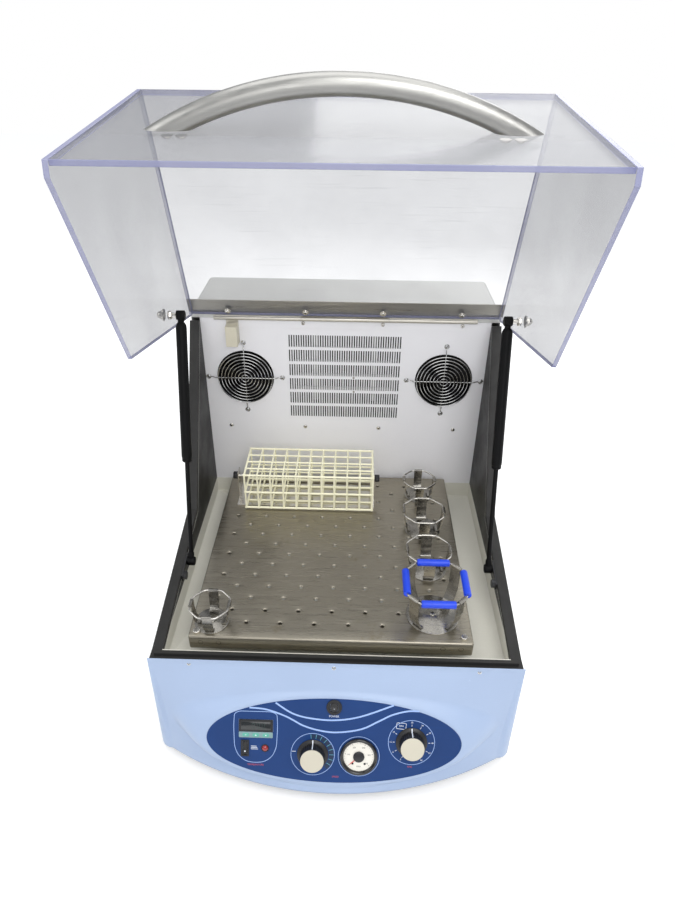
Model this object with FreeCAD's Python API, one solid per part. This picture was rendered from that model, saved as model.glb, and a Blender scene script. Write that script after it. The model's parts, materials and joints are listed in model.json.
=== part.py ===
import FreeCAD, Part
import math
import os

# Incubated benchtop shaker, millimetres.
# X runs to the operator's right, Y to the back, Z up. The origin lies on the table,
# under the middle of the box that the shaker fills with its lid open.

Vec = FreeCAD.Vector
X_AXIS = Vec(1, 0, 0)
Y_AXIS = Vec(0, 1, 0)
Z_AXIS = Vec(0, 0, 1)
FULL_TURN = 360.0
RIGHT_ANGLE = 90.0

# Chamber and cabinet
chamber_width = 556.0
chamber_front_y = -277.0
chamber_back_y = 203.0
side_wall = 17.0
sheet = 1.5
ground_clearance = 24.0
tub_floor_z = 180.0
tub_line_z = 214.0
wall_top_z = 586.0
cabinet_front_y = -300.0
half_depth = 397.0
housing_top_z = 605.0
housing_corner = 10.0
inlet_flange_depth = 3.0
touch_gap = 0.3
overrun = 5.0

# Lid, given as it stands when it is closed
lid_pivot_y = 198.3
lid_pivot_z = 589.7
lid_open_angle = 72.5
lid_sheet = 6.35
lid_nose_y = -219.7
lid_nose_z = 570.2
lid_foot_y = -292.4
lid_foot_z = 223.2
lid_toe_y = -277.2
lid_toe_z = 215.0
lid_knee_y = 15.0
lid_knee_z = 270.3
lid_heel_y = 191.5
lid_heel_z = 585.2
lid_crest_y = 187.0
lid_crest_z = 590.4

# Gasket round the rim
seal_gap = 0.5
gasket_thickness = 10.0

# Platform and its orbit
platform_size = 457.2
platform_top_z = 235.0
platform_sheet = 2.5
platform_flange = 26.0
platform_front_hole_x = (180.0, 209.0)
platform_front_hole_radius = 3.2
hole_pitch_x = 55.8
hole_row_step = 27.9
hole_radius = 2.75
hole_columns = 8
hole_sides = 6
mount_columns = (-1.5, 1.5)
mount_rows = (-2.5, -0.5)
orbit_radius = 9.5
orbit_rest_angle = 199.0

# Values worked out from the ones above
half_chamber = chamber_width / 2
half_cabinet = half_chamber + side_wall
center_y = (chamber_front_y + chamber_back_y) / 2
housing_front_y = chamber_back_y + sheet
housing_back_y = half_depth - inlet_flange_depth
half_lid = half_cabinet
half_lid_inner = half_lid - lid_sheet
lid_pivot = Vec(0, lid_pivot_y, lid_pivot_z)
platform_shift_x = orbit_radius * math.cos(math.radians(orbit_rest_angle))
platform_shift_y = orbit_radius * math.sin(math.radians(orbit_rest_angle))
platform_center = Vec(platform_shift_x, center_y + platform_shift_y, 0)
half_platform = platform_size / 2


def box(x0, x1, y0, y1, z0, z1):
    return Part.makeBox(x1 - x0, y1 - y0, z1 - z0, Vec(x0, y0, z0))


def bar(radius, start, end):
    """A round bar from one point to another."""
    axis = end - start
    return Part.makeCylinder(radius, axis.Length, start, axis)


def pipe(outer, inner, start, end):
    """A round bar with a bore right through."""
    step = (end - start).normalize() * overrun
    return bar(outer, start, end).cut(bar(inner, start - step, end + step))


def regular(radius, sides, center, z0, z1):
    """An upright prism with a regular outline that goes round a circle of the radius."""
    reach = radius / math.cos(math.pi / sides)
    corners = []
    for index in range(sides):
        angle = math.pi * (2 * index + 1) / sides
        corners.append((center.x + reach * math.cos(angle), center.y + reach * math.sin(angle)))
    return prism_z(corners, z0, z1)


def sided_bar(radius, sides, start, end):
    """A straight bar with a regular outline from one point to another."""
    axis = end - start
    piece = regular(radius, sides, Vec(0, 0, 0), 0, axis.Length)
    piece.Placement = FreeCAD.Placement(start, FreeCAD.Rotation(Z_AXIS, axis))
    return piece


def prism_x(points, x0, x1):
    """A plate whose outline, given as (y, z) points, runs from x0 to x1."""
    corners = [Vec(x0, y, z) for y, z in points]
    face = Part.Face(Part.makePolygon(corners + corners[:1]))
    return face.extrude(Vec(x1 - x0, 0, 0))


def prism_z(points, z0, z1):
    """A plate whose outline, given as (x, y) points, runs from z0 to z1."""
    corners = [Vec(x, y, z0) for x, y in points]
    face = Part.Face(Part.makePolygon(corners + corners[:1]))
    return face.extrude(Vec(0, 0, z1 - z0))


def fuse(shapes):
    """One solid out of several that touch or overlap."""
    whole = shapes[0]
    if len(shapes) > 1:
        whole = whole.fuse(shapes[1:])
    return whole.removeSplitter()


def cut(shape, tools):
    return shape.cut(Part.makeCompound(tools))


def group(shapes):
    """Several separate solids that share one file."""
    solids = []
    for shape in shapes:
        solids += shape.Solids
    return Part.makeCompound(solids)


def mirrored(shape):
    return shape.mirror(Vec(0, 0, 0), X_AXIS)


def both_sides(shape):
    return [shape, mirrored(shape)]


def offset_chain(points, distance):
    """Shift a chain of (y, z) points to the right of its run, with mitred corners."""
    lines = []
    for (y0, z0), (y1, z1) in zip(points[:-1], points[1:]):
        length = math.hypot(y1 - y0, z1 - z0)
        ny = (z1 - z0) / length
        nz = -(y1 - y0) / length
        lines.append((ny, nz, ny * y0 + nz * z0 + distance))
    first = lines[0]
    moved = [(points[0][0] + first[0] * distance, points[0][1] + first[1] * distance)]
    for (a, b, c), (d, e, f) in zip(lines[:-1], lines[1:]):
        cross = a * e - b * d
        moved.append(((c * e - b * f) / cross, (a * f - c * d) / cross))
    last = lines[-1]
    moved.append((points[-1][0] + last[0] * distance, points[-1][1] + last[1] * distance))
    return moved


def rim_chain(distance):
    """The lid's closed edge line, from the front of the cabinet to the heel, moved down."""
    chain = [(cabinet_front_y, lid_toe_z), (lid_toe_y, lid_toe_z),
             (lid_knee_y, lid_knee_z), (lid_heel_y, lid_heel_z)]
    return offset_chain(chain, distance)


rim_gasket_top = rim_chain(seal_gap)
rim_metal_top = rim_chain(seal_gap + gasket_thickness)
rim_metal_under = rim_chain(seal_gap + gasket_thickness + sheet)
rim_front_z = rim_metal_top[0][1]


def opened(shape):
    """Swing a lid piece from its closed place to the open pose."""
    turned = shape.copy()
    turned.rotate(lid_pivot, X_AXIS, -lid_open_angle)
    return turned


def polar(radius, degrees):
    angle = math.radians(degrees)
    return radius * math.cos(angle), radius * math.sin(angle)


# Base pan and feet
pan_sheet = 2.0
pan_lip = 30.0
foot_radius = 16.0
foot_sides = 16
foot_inset_x = 45.0
foot_front_inset = 40.0
foot_back_inset = 45.0


def foot_places():
    x = half_cabinet - foot_inset_x
    front = cabinet_front_y + foot_front_inset
    back = housing_back_y - foot_back_inset
    return [Vec(side, y, 0) for side in (-x, x) for y in (front, back)]


def chassis_base():
    edge = half_cabinet - sheet - touch_gap
    front = cabinet_front_y + sheet
    back = housing_back_y - housing_corner
    top = ground_clearance + pan_lip
    outer = box(-edge, edge, front, back, ground_clearance, top)
    inner = box(-edge + pan_sheet, edge - pan_sheet, front + pan_sheet, back - pan_sheet,
                ground_clearance + pan_sheet, top + overrun)
    return outer.cut(inner)


def feet():
    return group([regular(foot_radius, foot_sides, place, 0, ground_clearance)
                  for place in foot_places()])


# Side casings
def casing_right():
    skin_outline = [(cabinet_front_y, ground_clearance)] + rim_metal_top
    end_y, end_z = rim_metal_top[-1]
    skin_outline += [(housing_front_y, end_z), (housing_front_y, ground_clearance)]
    skin = prism_x(skin_outline, half_cabinet - sheet, half_cabinet)
    rim = prism_x(rim_metal_top + rim_metal_under[::-1], half_chamber, half_cabinet)
    front = box(half_chamber + sheet, half_cabinet, cabinet_front_y, cabinet_front_y + sheet,
                ground_clearance, rim_front_z)
    return fuse([skin, rim, front])


# Chamber tub
tub_hole_radius = 38.0
tub_hole_sides = 8
crank_front_offset = 100.0
crank_rear_offset = 120.0
crank_side_offset = 150.0


def crank_places():
    """The main crank first, then the two idler cranks."""
    return [Vec(0, center_y - crank_front_offset, 0),
            Vec(-crank_side_offset, center_y + crank_rear_offset, 0),
            Vec(crank_side_offset, center_y + crank_rear_offset, 0)]


def tub_line_start_y():
    """Where the underside of the rim rises past the tub's top line."""
    y0, z0 = rim_metal_under[1]
    y1, z1 = rim_metal_under[2]
    return y0 + (tub_line_z - z0) * (y1 - y0) / (z1 - z0)


def tub_wall():
    low_z = rim_metal_under[0][1]
    outline = [(chamber_front_y - sheet, tub_floor_z - sheet), (chamber_front_y - sheet, low_z),
               rim_metal_under[1], (tub_line_start_y(), tub_line_z),
               (housing_front_y, tub_line_z), (housing_front_y, tub_floor_z - sheet)]
    return prism_x(outline, half_chamber, half_chamber + sheet)


def chamber_tub():
    side = half_chamber + sheet
    floor = box(-side, side, chamber_front_y - sheet, housing_front_y,
                tub_floor_z - sheet, tub_floor_z)
    front = box(-half_chamber, half_chamber, chamber_front_y - sheet, chamber_front_y,
                tub_floor_z - sheet, rim_front_z)
    ledge = box(-half_chamber, half_chamber, cabinet_front_y, chamber_front_y,
                rim_front_z - sheet, rim_front_z)
    back = box(-side, side, chamber_back_y, housing_front_y, tub_floor_z - sheet, tub_line_z)
    whole = fuse([floor, front, ledge, back] + both_sides(tub_wall()))
    holes = []
    for place in crank_places():
        holes.append(regular(tub_hole_radius, tub_hole_sides, place,
                             tub_floor_z - sheet - overrun, tub_floor_z + overrun))
    return cut(whole, holes)


# Dark inner side panels above the tub
def side_liner():
    start_y = tub_line_start_y()
    knee = rim_metal_under[2]
    heel = rim_metal_under[3]
    outline = [(start_y, tub_line_z), knee, heel, (chamber_back_y, heel[1]),
               (chamber_back_y, tub_line_z)]
    return prism_x(outline, half_chamber, half_chamber + sheet)


# Rear wall with its air grille and two fan openings
fan_center_x = 198.0
fan_center_z = 462.5
fan_opening_radius = 57.0
fan_lug_radius = 74.0
slot_columns = 47
slot_rows = 6
slot_pitch = 4.7
slot_width = 2.4
slot_height = 25.0
slot_row_pitch = 31.0
grille_center_z = 464.5


def grille_slots():
    left = -slot_pitch * (slot_columns - 1) / 2
    bottom = grille_center_z - slot_row_pitch * (slot_rows - 1) / 2 - slot_height / 2
    slots = []
    for row in range(slot_rows):
        z = bottom + row * slot_row_pitch
        for column in range(slot_columns):
            x = left + column * slot_pitch
            slots.append(box(x - slot_width / 2, x + slot_width / 2, chamber_back_y - overrun,
                             housing_front_y + overrun, z, z + slot_height))
    return slots


def rear_wall():
    plate = box(-half_chamber, half_chamber, chamber_back_y, housing_front_y,
                tub_line_z, wall_top_z)
    openings = grille_slots()
    for x in (-fan_center_x, fan_center_x):
        openings.append(bar(fan_opening_radius, Vec(x, chamber_back_y - overrun, fan_center_z),
                            Vec(x, housing_front_y + overrun, fan_center_z)))
    return cut(plate, openings)


# Rear housing
inner_chamfer = 6.0
inlet_x = -200.0
inlet_z = 90.0
inlet_width = 48.0
inlet_height = 28.0
vent_count = 8
vent_length = 180.0
vent_height = 5.0
vent_pitch = 14.0
vent_center_x = 60.0
vent_bottom_z = 300.0


def housing_edges(block, half, back, top):
    """The edges of a box where its top, its back and its sides meet."""
    found = []
    for edge in block.Edges:
        middle = edge.CenterOfMass
        at_top = abs(middle.z - top) < touch_gap
        at_back = abs(middle.y - back) < touch_gap
        at_side = abs(abs(middle.x) - half) < touch_gap
        if at_top + at_back + at_side == 2:
            found.append(edge)
    return found


def rear_housing():
    outer = box(-half_cabinet, half_cabinet, housing_front_y, housing_back_y,
                ground_clearance, housing_top_z)
    outer = outer.makeFillet(housing_corner,
                             housing_edges(outer, half_cabinet, housing_back_y, housing_top_z))
    half = half_cabinet - sheet
    back = housing_back_y - sheet
    top = housing_top_z - sheet
    inner = box(-half, half, housing_front_y - overrun, back, ground_clearance - overrun, top)
    inner = inner.makeChamfer(inner_chamfer, housing_edges(inner, half, back, top))
    shell = outer.cut(inner)
    brow = box(-half_cabinet, half_cabinet, housing_front_y,
               housing_front_y + sheet, wall_top_z, housing_top_z).common(outer)
    cuts = [box(inlet_x - inlet_width / 2, inlet_x + inlet_width / 2, housing_back_y - sheet * 2,
                housing_back_y + overrun, inlet_z - inlet_height / 2, inlet_z + inlet_height / 2)]
    for index in range(vent_count):
        z = vent_bottom_z + index * vent_pitch
        for side in (-1, 1):
            x = side * (vent_center_x + vent_length / 2)
            cuts.append(box(x - vent_length / 2, x + vent_length / 2, housing_back_y - sheet * 2,
                            housing_back_y + overrun, z, z + vent_height))
    return cut(fuse([shell, brow]), cuts)


# Power inlet in the back
inlet_flange = 5.0
inlet_depth = 25.0
inlet_cavity_depth = 18.0
inlet_cavity_wall = 5.0
inlet_pin_width = 2.0
inlet_pin_height = 4.0
inlet_pin_spacing = 7.0


def power_inlet():
    half_w = inlet_width / 2 - touch_gap
    half_h = inlet_height / 2 - touch_gap
    body = box(inlet_x - half_w, inlet_x + half_w, housing_back_y - inlet_depth,
               housing_back_y, inlet_z - half_h, inlet_z + half_h)
    flange = box(inlet_x - half_w - inlet_flange, inlet_x + half_w + inlet_flange,
                 housing_back_y, housing_back_y + inlet_flange_depth,
                 inlet_z - half_h - inlet_flange, inlet_z + half_h + inlet_flange)
    cavity = box(inlet_x - half_w + inlet_cavity_wall, inlet_x + half_w - inlet_cavity_wall,
                 housing_back_y - inlet_cavity_depth, housing_back_y + overrun,
                 inlet_z - half_h + inlet_cavity_wall, inlet_z + half_h - inlet_cavity_wall)
    pins = []
    for step in (-1, 0, 1):
        x = inlet_x + step * inlet_pin_spacing
        pins.append(box(x - inlet_pin_width / 2, x + inlet_pin_width / 2,
                        housing_back_y - inlet_cavity_depth, housing_back_y - inlet_flange_depth,
                        inlet_z - inlet_pin_height / 2, inlet_z + inlet_pin_height / 2))
    return fuse([fuse([body, flange]).cut(cavity)] + pins)


# Rim gasket
lip_width = 6.35


def front_sheet_low_z():
    """The lowest point of the closed front sheet, at the inner edge of its foot."""
    run_y = lid_nose_y - lid_foot_y
    run_z = lid_nose_z - lid_foot_z
    return lid_foot_z - lid_sheet * run_y / math.hypot(run_y, run_z)


def rim_gasket():
    strip = prism_x(rim_gasket_top + rim_metal_top[::-1], half_chamber, half_cabinet)
    top_z = rim_gasket_top[0][1]
    front = box(-half_chamber, half_chamber, cabinet_front_y, chamber_front_y - sheet,
                rim_front_z, top_z)
    front_edge = half_lid_inner - seal_gap
    lip = box(-front_edge, front_edge, lid_foot_y, lid_foot_y + lip_width,
              top_z, front_sheet_low_z() - seal_gap)
    return fuse(both_sides(strip) + [front, lip])


# Front bezel: a moulded shell with a bowed foot and a flat oval pod for the controls
bezel_top_y = -300.5
bezel_top_z = 212.0
bezel_foot_y = -half_depth
bezel_top_overhang = 2.0
bezel_foot_overhang = 1.0
bezel_half_top = half_cabinet + bezel_top_overhang
bezel_half_foot = half_cabinet + bezel_foot_overhang
bezel_side_top_y = -301.6
bezel_side_share = 26 / 97
bezel_corner_top = 1.2
bezel_corner_share = 22 / 97
bezel_bow_top = 1.6
bezel_wall = 3.0
bezel_back_y = cabinet_front_y
bezel_foot_reach = bezel_back_y - bezel_foot_y
bezel_side_foot_y = bezel_back_y - bezel_foot_reach * bezel_side_share
bezel_corner_foot = bezel_foot_reach * bezel_corner_share
pod_rise = 3.0
pod_center_down = 121.0
pod_half_width = 207.0
pod_half_height = 73.0
pod_side_margin = 27.0
pod_base_half_width = half_cabinet - pod_side_margin
pod_base_half_height = 82.0
pod_depth = 30.0
pod_room_sides = 12

slope_y = bezel_foot_y - bezel_top_y
slope_z = ground_clearance - bezel_top_z
slope_length = math.hypot(slope_y, slope_z)
slope_turn = math.degrees(math.atan2(-slope_z, -slope_y))
face_out = Vec(0, slope_z / slope_length, -slope_y / slope_length)
face_down = Vec(0, slope_y / slope_length, slope_z / slope_length)
pod_origin = Vec(0, bezel_top_y, bezel_top_z) + face_out * pod_rise + face_down * pod_center_down


def on_panel(shape, x=0.0, up=0.0):
    """Set a piece on the control panel. It is built with X right, Y up the slope and Z
    out of the panel, about a point that lies x and up from the oval's middle."""
    placed = shape.copy()
    placed.translate(Vec(x, up, 0))
    turn = FreeCAD.Rotation(X_AXIS, slope_turn)
    placed.Placement = FreeCAD.Placement(pod_origin, turn).multiply(placed.Placement)
    return placed


def bezel_section(z, half, radius, side_y, bow_y):
    """One level outline of the bezel: straight sides, round corners and a bowed front."""
    turn_in = radius * (1 - math.sqrt(1 / 2))
    bow_points = [Vec(-half + radius, side_y, z), Vec(0, bow_y, z), Vec(half - radius, side_y, z)]
    left_bend = [Vec(-half, side_y + radius, z), Vec(-half + turn_in, side_y + turn_in, z),
                 bow_points[0]]
    right_bend = [bow_points[2], Vec(half - turn_in, side_y + turn_in, z),
                  Vec(half, side_y + radius, z)]
    back_left = Vec(-half, bezel_back_y, z)
    back_right = Vec(half, bezel_back_y, z)
    edges = [Part.LineSegment(back_left, left_bend[0]).toShape(),
             Part.Arc(*left_bend).toShape(),
             Part.Arc(*bow_points).toShape(),
             Part.Arc(*right_bend).toShape(),
             Part.LineSegment(right_bend[2], back_right).toShape(),
             Part.LineSegment(back_right, back_left).toShape()]
    return Part.Wire(edges)


def bezel_block(inset):
    """The bezel's solid form, with its sides drawn in by inset."""
    corner_inset = min(inset, bezel_corner_top / 2)
    top = bezel_section(bezel_top_z, bezel_half_top - inset, bezel_corner_top - corner_inset,
                        bezel_side_top_y, bezel_top_y - bezel_bow_top)
    foot = bezel_section(ground_clearance, bezel_half_foot - inset, bezel_corner_foot - inset,
                         bezel_side_foot_y, bezel_foot_y)
    return Part.makeLoft([foot, top], True, True)


def ellipse_wire(half_width, half_height, z):
    curve = Part.Ellipse(Vec(0, 0, z), half_width, half_height)
    return Part.Wire([curve.toShape()])


def pod_block():
    """The oval pod, with its flat top on the panel plane and sloping flanks behind."""
    top = ellipse_wire(pod_half_width, pod_half_height, 0)
    base = ellipse_wire(pod_base_half_width, pod_base_half_height, -pod_depth)
    return on_panel(Part.makeLoft([top, base], True, True))


def pod_room():
    """The cavity behind the pod's flat top, with a straight-sided outline."""
    corners = []
    for index in range(pod_room_sides):
        across, up = polar(1, FULL_TURN * (index + 1 / 2) / pod_room_sides)
        corners.append((across * (pod_half_width - bezel_wall), up * (pod_half_height - bezel_wall)))
    return on_panel(prism_z(corners, -pod_depth * 2, -bezel_wall))


# Controls: places on the panel, right and up from the oval's middle
rocker_x = 0.0
rocker_up = 56.0
rocker_barrel_radius = 9.2
display_x = -123.5
display_up = 21.5
display_width = 54.0
display_height = 20.0
key_up = 6.3
key_spacing = 16.0
key_width = 11.0
key_height = 6.0
heater_switch_x = -140.5
heater_switch_up = -15.8
heater_switch_width = 10.0
heater_switch_height = 24.0
lamp_x = -108.6
lamp_up = -15.2
lamp_radius = 5.0
speed_x = -32.7
speed_up = -23.0
gauge_x = 40.4
gauge_up = -24.2
gauge_radius = 26.0
time_x = 123.0
time_up = 1.5
shaft_hole_radius = 5.0
hidden_hole_sides = 12


def control_holes(margin, low, high):
    """Cutters for everything that passes through the panel."""
    def sided_hole(radius, x, up):
        return on_panel(regular(radius, hidden_hole_sides, Vec(0, 0, 0), low, high), x, up)

    def square_hole(width, height, x, up):
        block = box(-width / 2, width / 2, -height / 2, height / 2, low, high)
        return on_panel(block, x, up)

    lamp = bar(lamp_radius + margin, Vec(0, 0, low), Vec(0, 0, high))
    cutters = [on_panel(lamp, lamp_x, lamp_up),
               sided_hole(rocker_barrel_radius + margin, rocker_x, rocker_up),
               sided_hole(shaft_hole_radius + margin, speed_x, speed_up),
               sided_hole(shaft_hole_radius + margin, time_x, time_up),
               sided_hole(gauge_radius + margin, gauge_x, gauge_up),
               square_hole(heater_switch_width + margin * 2, heater_switch_height + margin * 2,
                           heater_switch_x, heater_switch_up),
               square_hole(display_width + margin * 2, display_height + margin * 2,
                           display_x, display_up)]
    for step in (-1, 0, 1):
        cutters.append(square_hole(key_width + margin * 2, key_height + margin * 2,
                                   display_x + step * key_spacing, key_up))
    return cutters


panel_cut_depth = 45.0


def front_bezel():
    limits = box(-half_cabinet * 2, half_cabinet * 2, bezel_foot_y * 2, bezel_back_y,
                 ground_clearance, bezel_top_z)
    skin = fuse([bezel_block(0.0), pod_block()]).common(limits)
    room = bezel_block(bezel_wall)
    room.translate(Vec(0, -bezel_wall / face_out.y, -bezel_wall))
    shell = skin.cut(room).cut(pod_room())
    return cut(shell, control_holes(touch_gap, -panel_cut_depth, overrun))


label_thickness = 0.6
label_side_margin = 5.0
label_top_margin = 3.5
label_half_width = pod_half_width - label_side_margin
label_half_height = pod_half_height - label_top_margin


def control_label():
    face = Part.Face(ellipse_wire(label_half_width, label_half_height, 0))
    sheet_piece = on_panel(face.extrude(Vec(0, 0, label_thickness)))
    return cut(sheet_piece, control_holes(touch_gap, -overrun, overrun))


# Knobs
skirt_radius = 25.0
skirt_height = 3.5
skirt_top_radius = 21.0
knob_radius = 19.5
knob_height = 20.0
cap_radius = 18.5
cap_height = 1.2
knob_shaft_radius = 4.0
knob_shaft_length = 16.0
knob_sides = 24
pointer_width = 2.0
pointer_length = 5.5


def knob(x, up):
    """A skirted knob: a flared skirt with a pointer, a fluted drum and a raised cap."""
    center = Vec(0, 0, 0)
    base_z = label_thickness + touch_gap
    cap_z = base_z + knob_height
    skirt = Part.makeCone(skirt_radius, skirt_top_radius, skirt_height, Vec(0, 0, base_z))
    drum = regular(knob_radius, knob_sides, center, base_z, cap_z)
    cap = regular(cap_radius, knob_sides, center, cap_z, cap_z + cap_height)
    shaft = bar(knob_shaft_radius, Vec(0, 0, -knob_shaft_length), Vec(0, 0, base_z))
    pointer = box(-pointer_width / 2, pointer_width / 2, skirt_radius - pointer_length,
                  skirt_radius, base_z, base_z + skirt_height)
    return on_panel(fuse([skirt, drum, cap, shaft, pointer]), x, up)


# Speed gauge
gauge_rim_radius = 30.0
gauge_rim_height = 5.0
gauge_window_radius = 24.0
gauge_dial_z = 1.5
gauge_case_depth = 35.0
gauge_pivot_radius = 1.5
needle_length = 20.0
needle_width = 2.0
needle_thickness = 0.8
needle_lift = 1.0
needle_hub_radius = 9.0
needle_hub_height = 1.8
needle_hub_sides = 16
needle_rest_angle = 222.0


def speed_gauge():
    rim_low = label_thickness
    rim = bar(gauge_rim_radius, Vec(0, 0, rim_low), Vec(0, 0, rim_low + gauge_rim_height))
    case = regular(gauge_radius - touch_gap, hidden_hole_sides, Vec(0, 0, 0),
                   -gauge_case_depth, rim_low)
    window = bar(gauge_window_radius, Vec(0, 0, gauge_dial_z),
                 Vec(0, 0, rim_low + gauge_rim_height + overrun))
    pivot = bar(gauge_pivot_radius, Vec(0, 0, gauge_dial_z),
                Vec(0, 0, gauge_dial_z + needle_lift + needle_thickness))
    return on_panel(fuse([fuse([rim, case]).cut(window), pivot]), gauge_x, gauge_up)


def gauge_needle():
    low = gauge_dial_z + touch_gap
    high = low + needle_hub_height
    hub = sided_bar(needle_hub_radius, needle_hub_sides, Vec(0, 0, low), Vec(0, 0, high))
    arm = box(0, needle_length, -needle_width / 2, needle_width / 2, low, low + needle_thickness)
    arm.rotate(Vec(0, 0, 0), Z_AXIS, needle_rest_angle)
    socket = bar(gauge_pivot_radius + touch_gap, Vec(0, 0, low - overrun),
                 Vec(0, 0, gauge_dial_z + needle_lift + needle_thickness + touch_gap))
    return on_panel(fuse([hub, arm]).cut(socket), gauge_x, gauge_up)


# Temperature module, its keys and its lamp
display_depth = 22.0
display_rise = 1.2
window_width = 46.0
window_height = 12.0
window_depth = 0.8
key_rise = 1.8
key_stem_depth = 6.0
module_width = 64.0
module_height = 66.0
module_top_up = 36.0
module_back = 10.0
module_thickness = 4.0
lamp_rise = 1.5
lamp_tip_radius = 3.0
lamp_lens_height = 2.5


def display_module():
    half_w = display_width / 2
    half_h = display_height / 2
    body = box(-half_w, half_w, -half_h, half_h, -module_back, display_rise)
    window = box(-window_width / 2, window_width / 2, -window_height / 2, window_height / 2,
                 display_rise - window_depth, display_rise + overrun)
    body = body.cut(window)
    body.translate(Vec(display_x, display_up, 0))
    left = display_x - module_width / 2
    board = box(left, left + module_width, module_top_up - module_height, module_top_up,
                -module_back - module_thickness, -module_back)
    return on_panel(fuse([body, board]))


def control_modules():
    return group([display_module(), power_switch_body(), heater_switch_body()])


def set_key(step):
    stem = box(-key_width / 2, key_width / 2, -key_height / 2, key_height / 2,
               -key_stem_depth, key_rise)
    return on_panel(stem, display_x + step * key_spacing, key_up)


def indicator_lamp():
    body = bar(lamp_radius, Vec(0, 0, -module_back), Vec(0, 0, lamp_rise))
    lens = Part.makeCone(lamp_radius, lamp_tip_radius, lamp_lens_height, Vec(0, 0, lamp_rise))
    return on_panel(fuse([body, lens]), lamp_x, lamp_up)


# Rocker switches and their housings
rocker_radius = 7.0
rocker_half_width = 6.2
rocker_rise = 2.4
rocker_depth = 6.0
rocker_dip = 1.6
rocker_swing_room = 1.0
rocker_ring_radius = 12.3
rocker_ring_rise = 2.2
heater_rocker_width = 7.0
heater_rocker_height = 20.0
heater_switch_rim = 1.5
heater_switch_rise = 1.4
switch_depth = 16.0
switch_back = 2.0


def rocker_profile(half, width):
    """A rocker cap seen from the side: two faces that meet in a shallow dip."""
    points = [(-half, -rocker_depth), (-half, rocker_rise), (0, rocker_rise - rocker_dip),
              (half, rocker_rise - rocker_dip / 2), (half, -rocker_depth)]
    return prism_x(points, -width / 2, width / 2)


def power_rocker():
    cap = rocker_profile(rocker_radius, rocker_half_width * 2)
    round_body = bar(rocker_radius, Vec(0, 0, -rocker_depth), Vec(0, 0, rocker_rise))
    return on_panel(cap.common(round_body), rocker_x, rocker_up)


def heater_rocker():
    return on_panel(rocker_profile(heater_rocker_height / 2, heater_rocker_width),
                    heater_switch_x, heater_switch_up)


def power_switch_body():
    """A round housing with a raised ring; its cheeks guide the rocker."""
    low = -switch_depth
    high = label_thickness + rocker_ring_rise
    barrel = bar(rocker_barrel_radius, Vec(0, 0, low), Vec(0, 0, label_thickness))
    ring = bar(rocker_ring_radius, Vec(0, 0, label_thickness), Vec(0, 0, high))
    bore = bar(rocker_radius + rocker_swing_room, Vec(0, 0, low + switch_back),
               Vec(0, 0, high + overrun))
    cheek = rocker_half_width + touch_gap
    slot = box(-cheek, cheek, -rocker_ring_radius, rocker_ring_radius, low + switch_back,
               high + overrun)
    return on_panel(fuse([barrel, ring]).cut(bore.common(slot)), rocker_x, rocker_up)


def heater_switch_body():
    low = -switch_depth
    high = label_thickness + heater_switch_rise
    half_w = heater_switch_width / 2
    half_h = heater_switch_height / 2
    barrel = box(-half_w, half_w, -half_h, half_h, low, label_thickness)
    flange = box(-half_w - heater_switch_rim, half_w + heater_switch_rim,
                 -half_h - heater_switch_rim, half_h + heater_switch_rim, label_thickness, high)
    cheek = heater_rocker_width / 2 + touch_gap
    reach = heater_rocker_height / 2 + rocker_swing_room
    room = box(-cheek, cheek, -reach, reach, low + switch_back, high + overrun)
    return on_panel(fuse([barrel, flange]).cut(room), heater_switch_x, heater_switch_up)


# Fans: frame behind the wall, rotor inside it, wire guard in front
fan_frame_size = 119.0
fan_frame_depth = 38.0
fan_bore_radius = 57.5
fan_motor_radius = 20.0
fan_spoke_width = 6.0
fan_spoke_depth = 4.0
fan_hub_radius = 22.0
fan_blade_tip = 53.0
fan_blade_count = 5
fan_blade_thickness = 2.0
fan_blade_width = 34.0
fan_blade_pitch = 38.0
fan_rotor_depth = 24.0
fan_rotor_inset = 5.0
fan_pin_radius = 3.0
guard_wire = 2.0
guard_ring_radii_shares = (0.36, 0.68, 1.0)
guard_outer_radius = 55.0
guard_stand_off = 6.0
guard_hub_radius = 15.0
guard_lug_radius = 5.5
guard_lug_thickness = 1.2
guard_sides = 24
guard_lug_sides = 8


def fan_frame(x):
    back = housing_front_y + fan_frame_depth
    half = fan_frame_size / 2
    body = box(x - half, x + half, housing_front_y, back,
               fan_center_z - half, fan_center_z + half)
    body = body.cut(bar(fan_bore_radius, Vec(x, housing_front_y - overrun, fan_center_z),
                        Vec(x, back + overrun, fan_center_z)))
    spoke_y = back - fan_spoke_depth
    core = sided_bar(fan_motor_radius, guard_lug_sides, Vec(x, spoke_y, fan_center_z),
                     Vec(x, back, fan_center_z))
    pin = bar(fan_pin_radius, Vec(x, spoke_y - fan_rotor_depth, fan_center_z),
              Vec(x, spoke_y, fan_center_z))
    level = box(x - half, x + half, spoke_y, back, fan_center_z - fan_spoke_width / 2,
                fan_center_z + fan_spoke_width / 2)
    upright = box(x - fan_spoke_width / 2, x + fan_spoke_width / 2, spoke_y, back,
                  fan_center_z - half, fan_center_z + half)
    return fuse([body, core, pin, level, upright])


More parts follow.
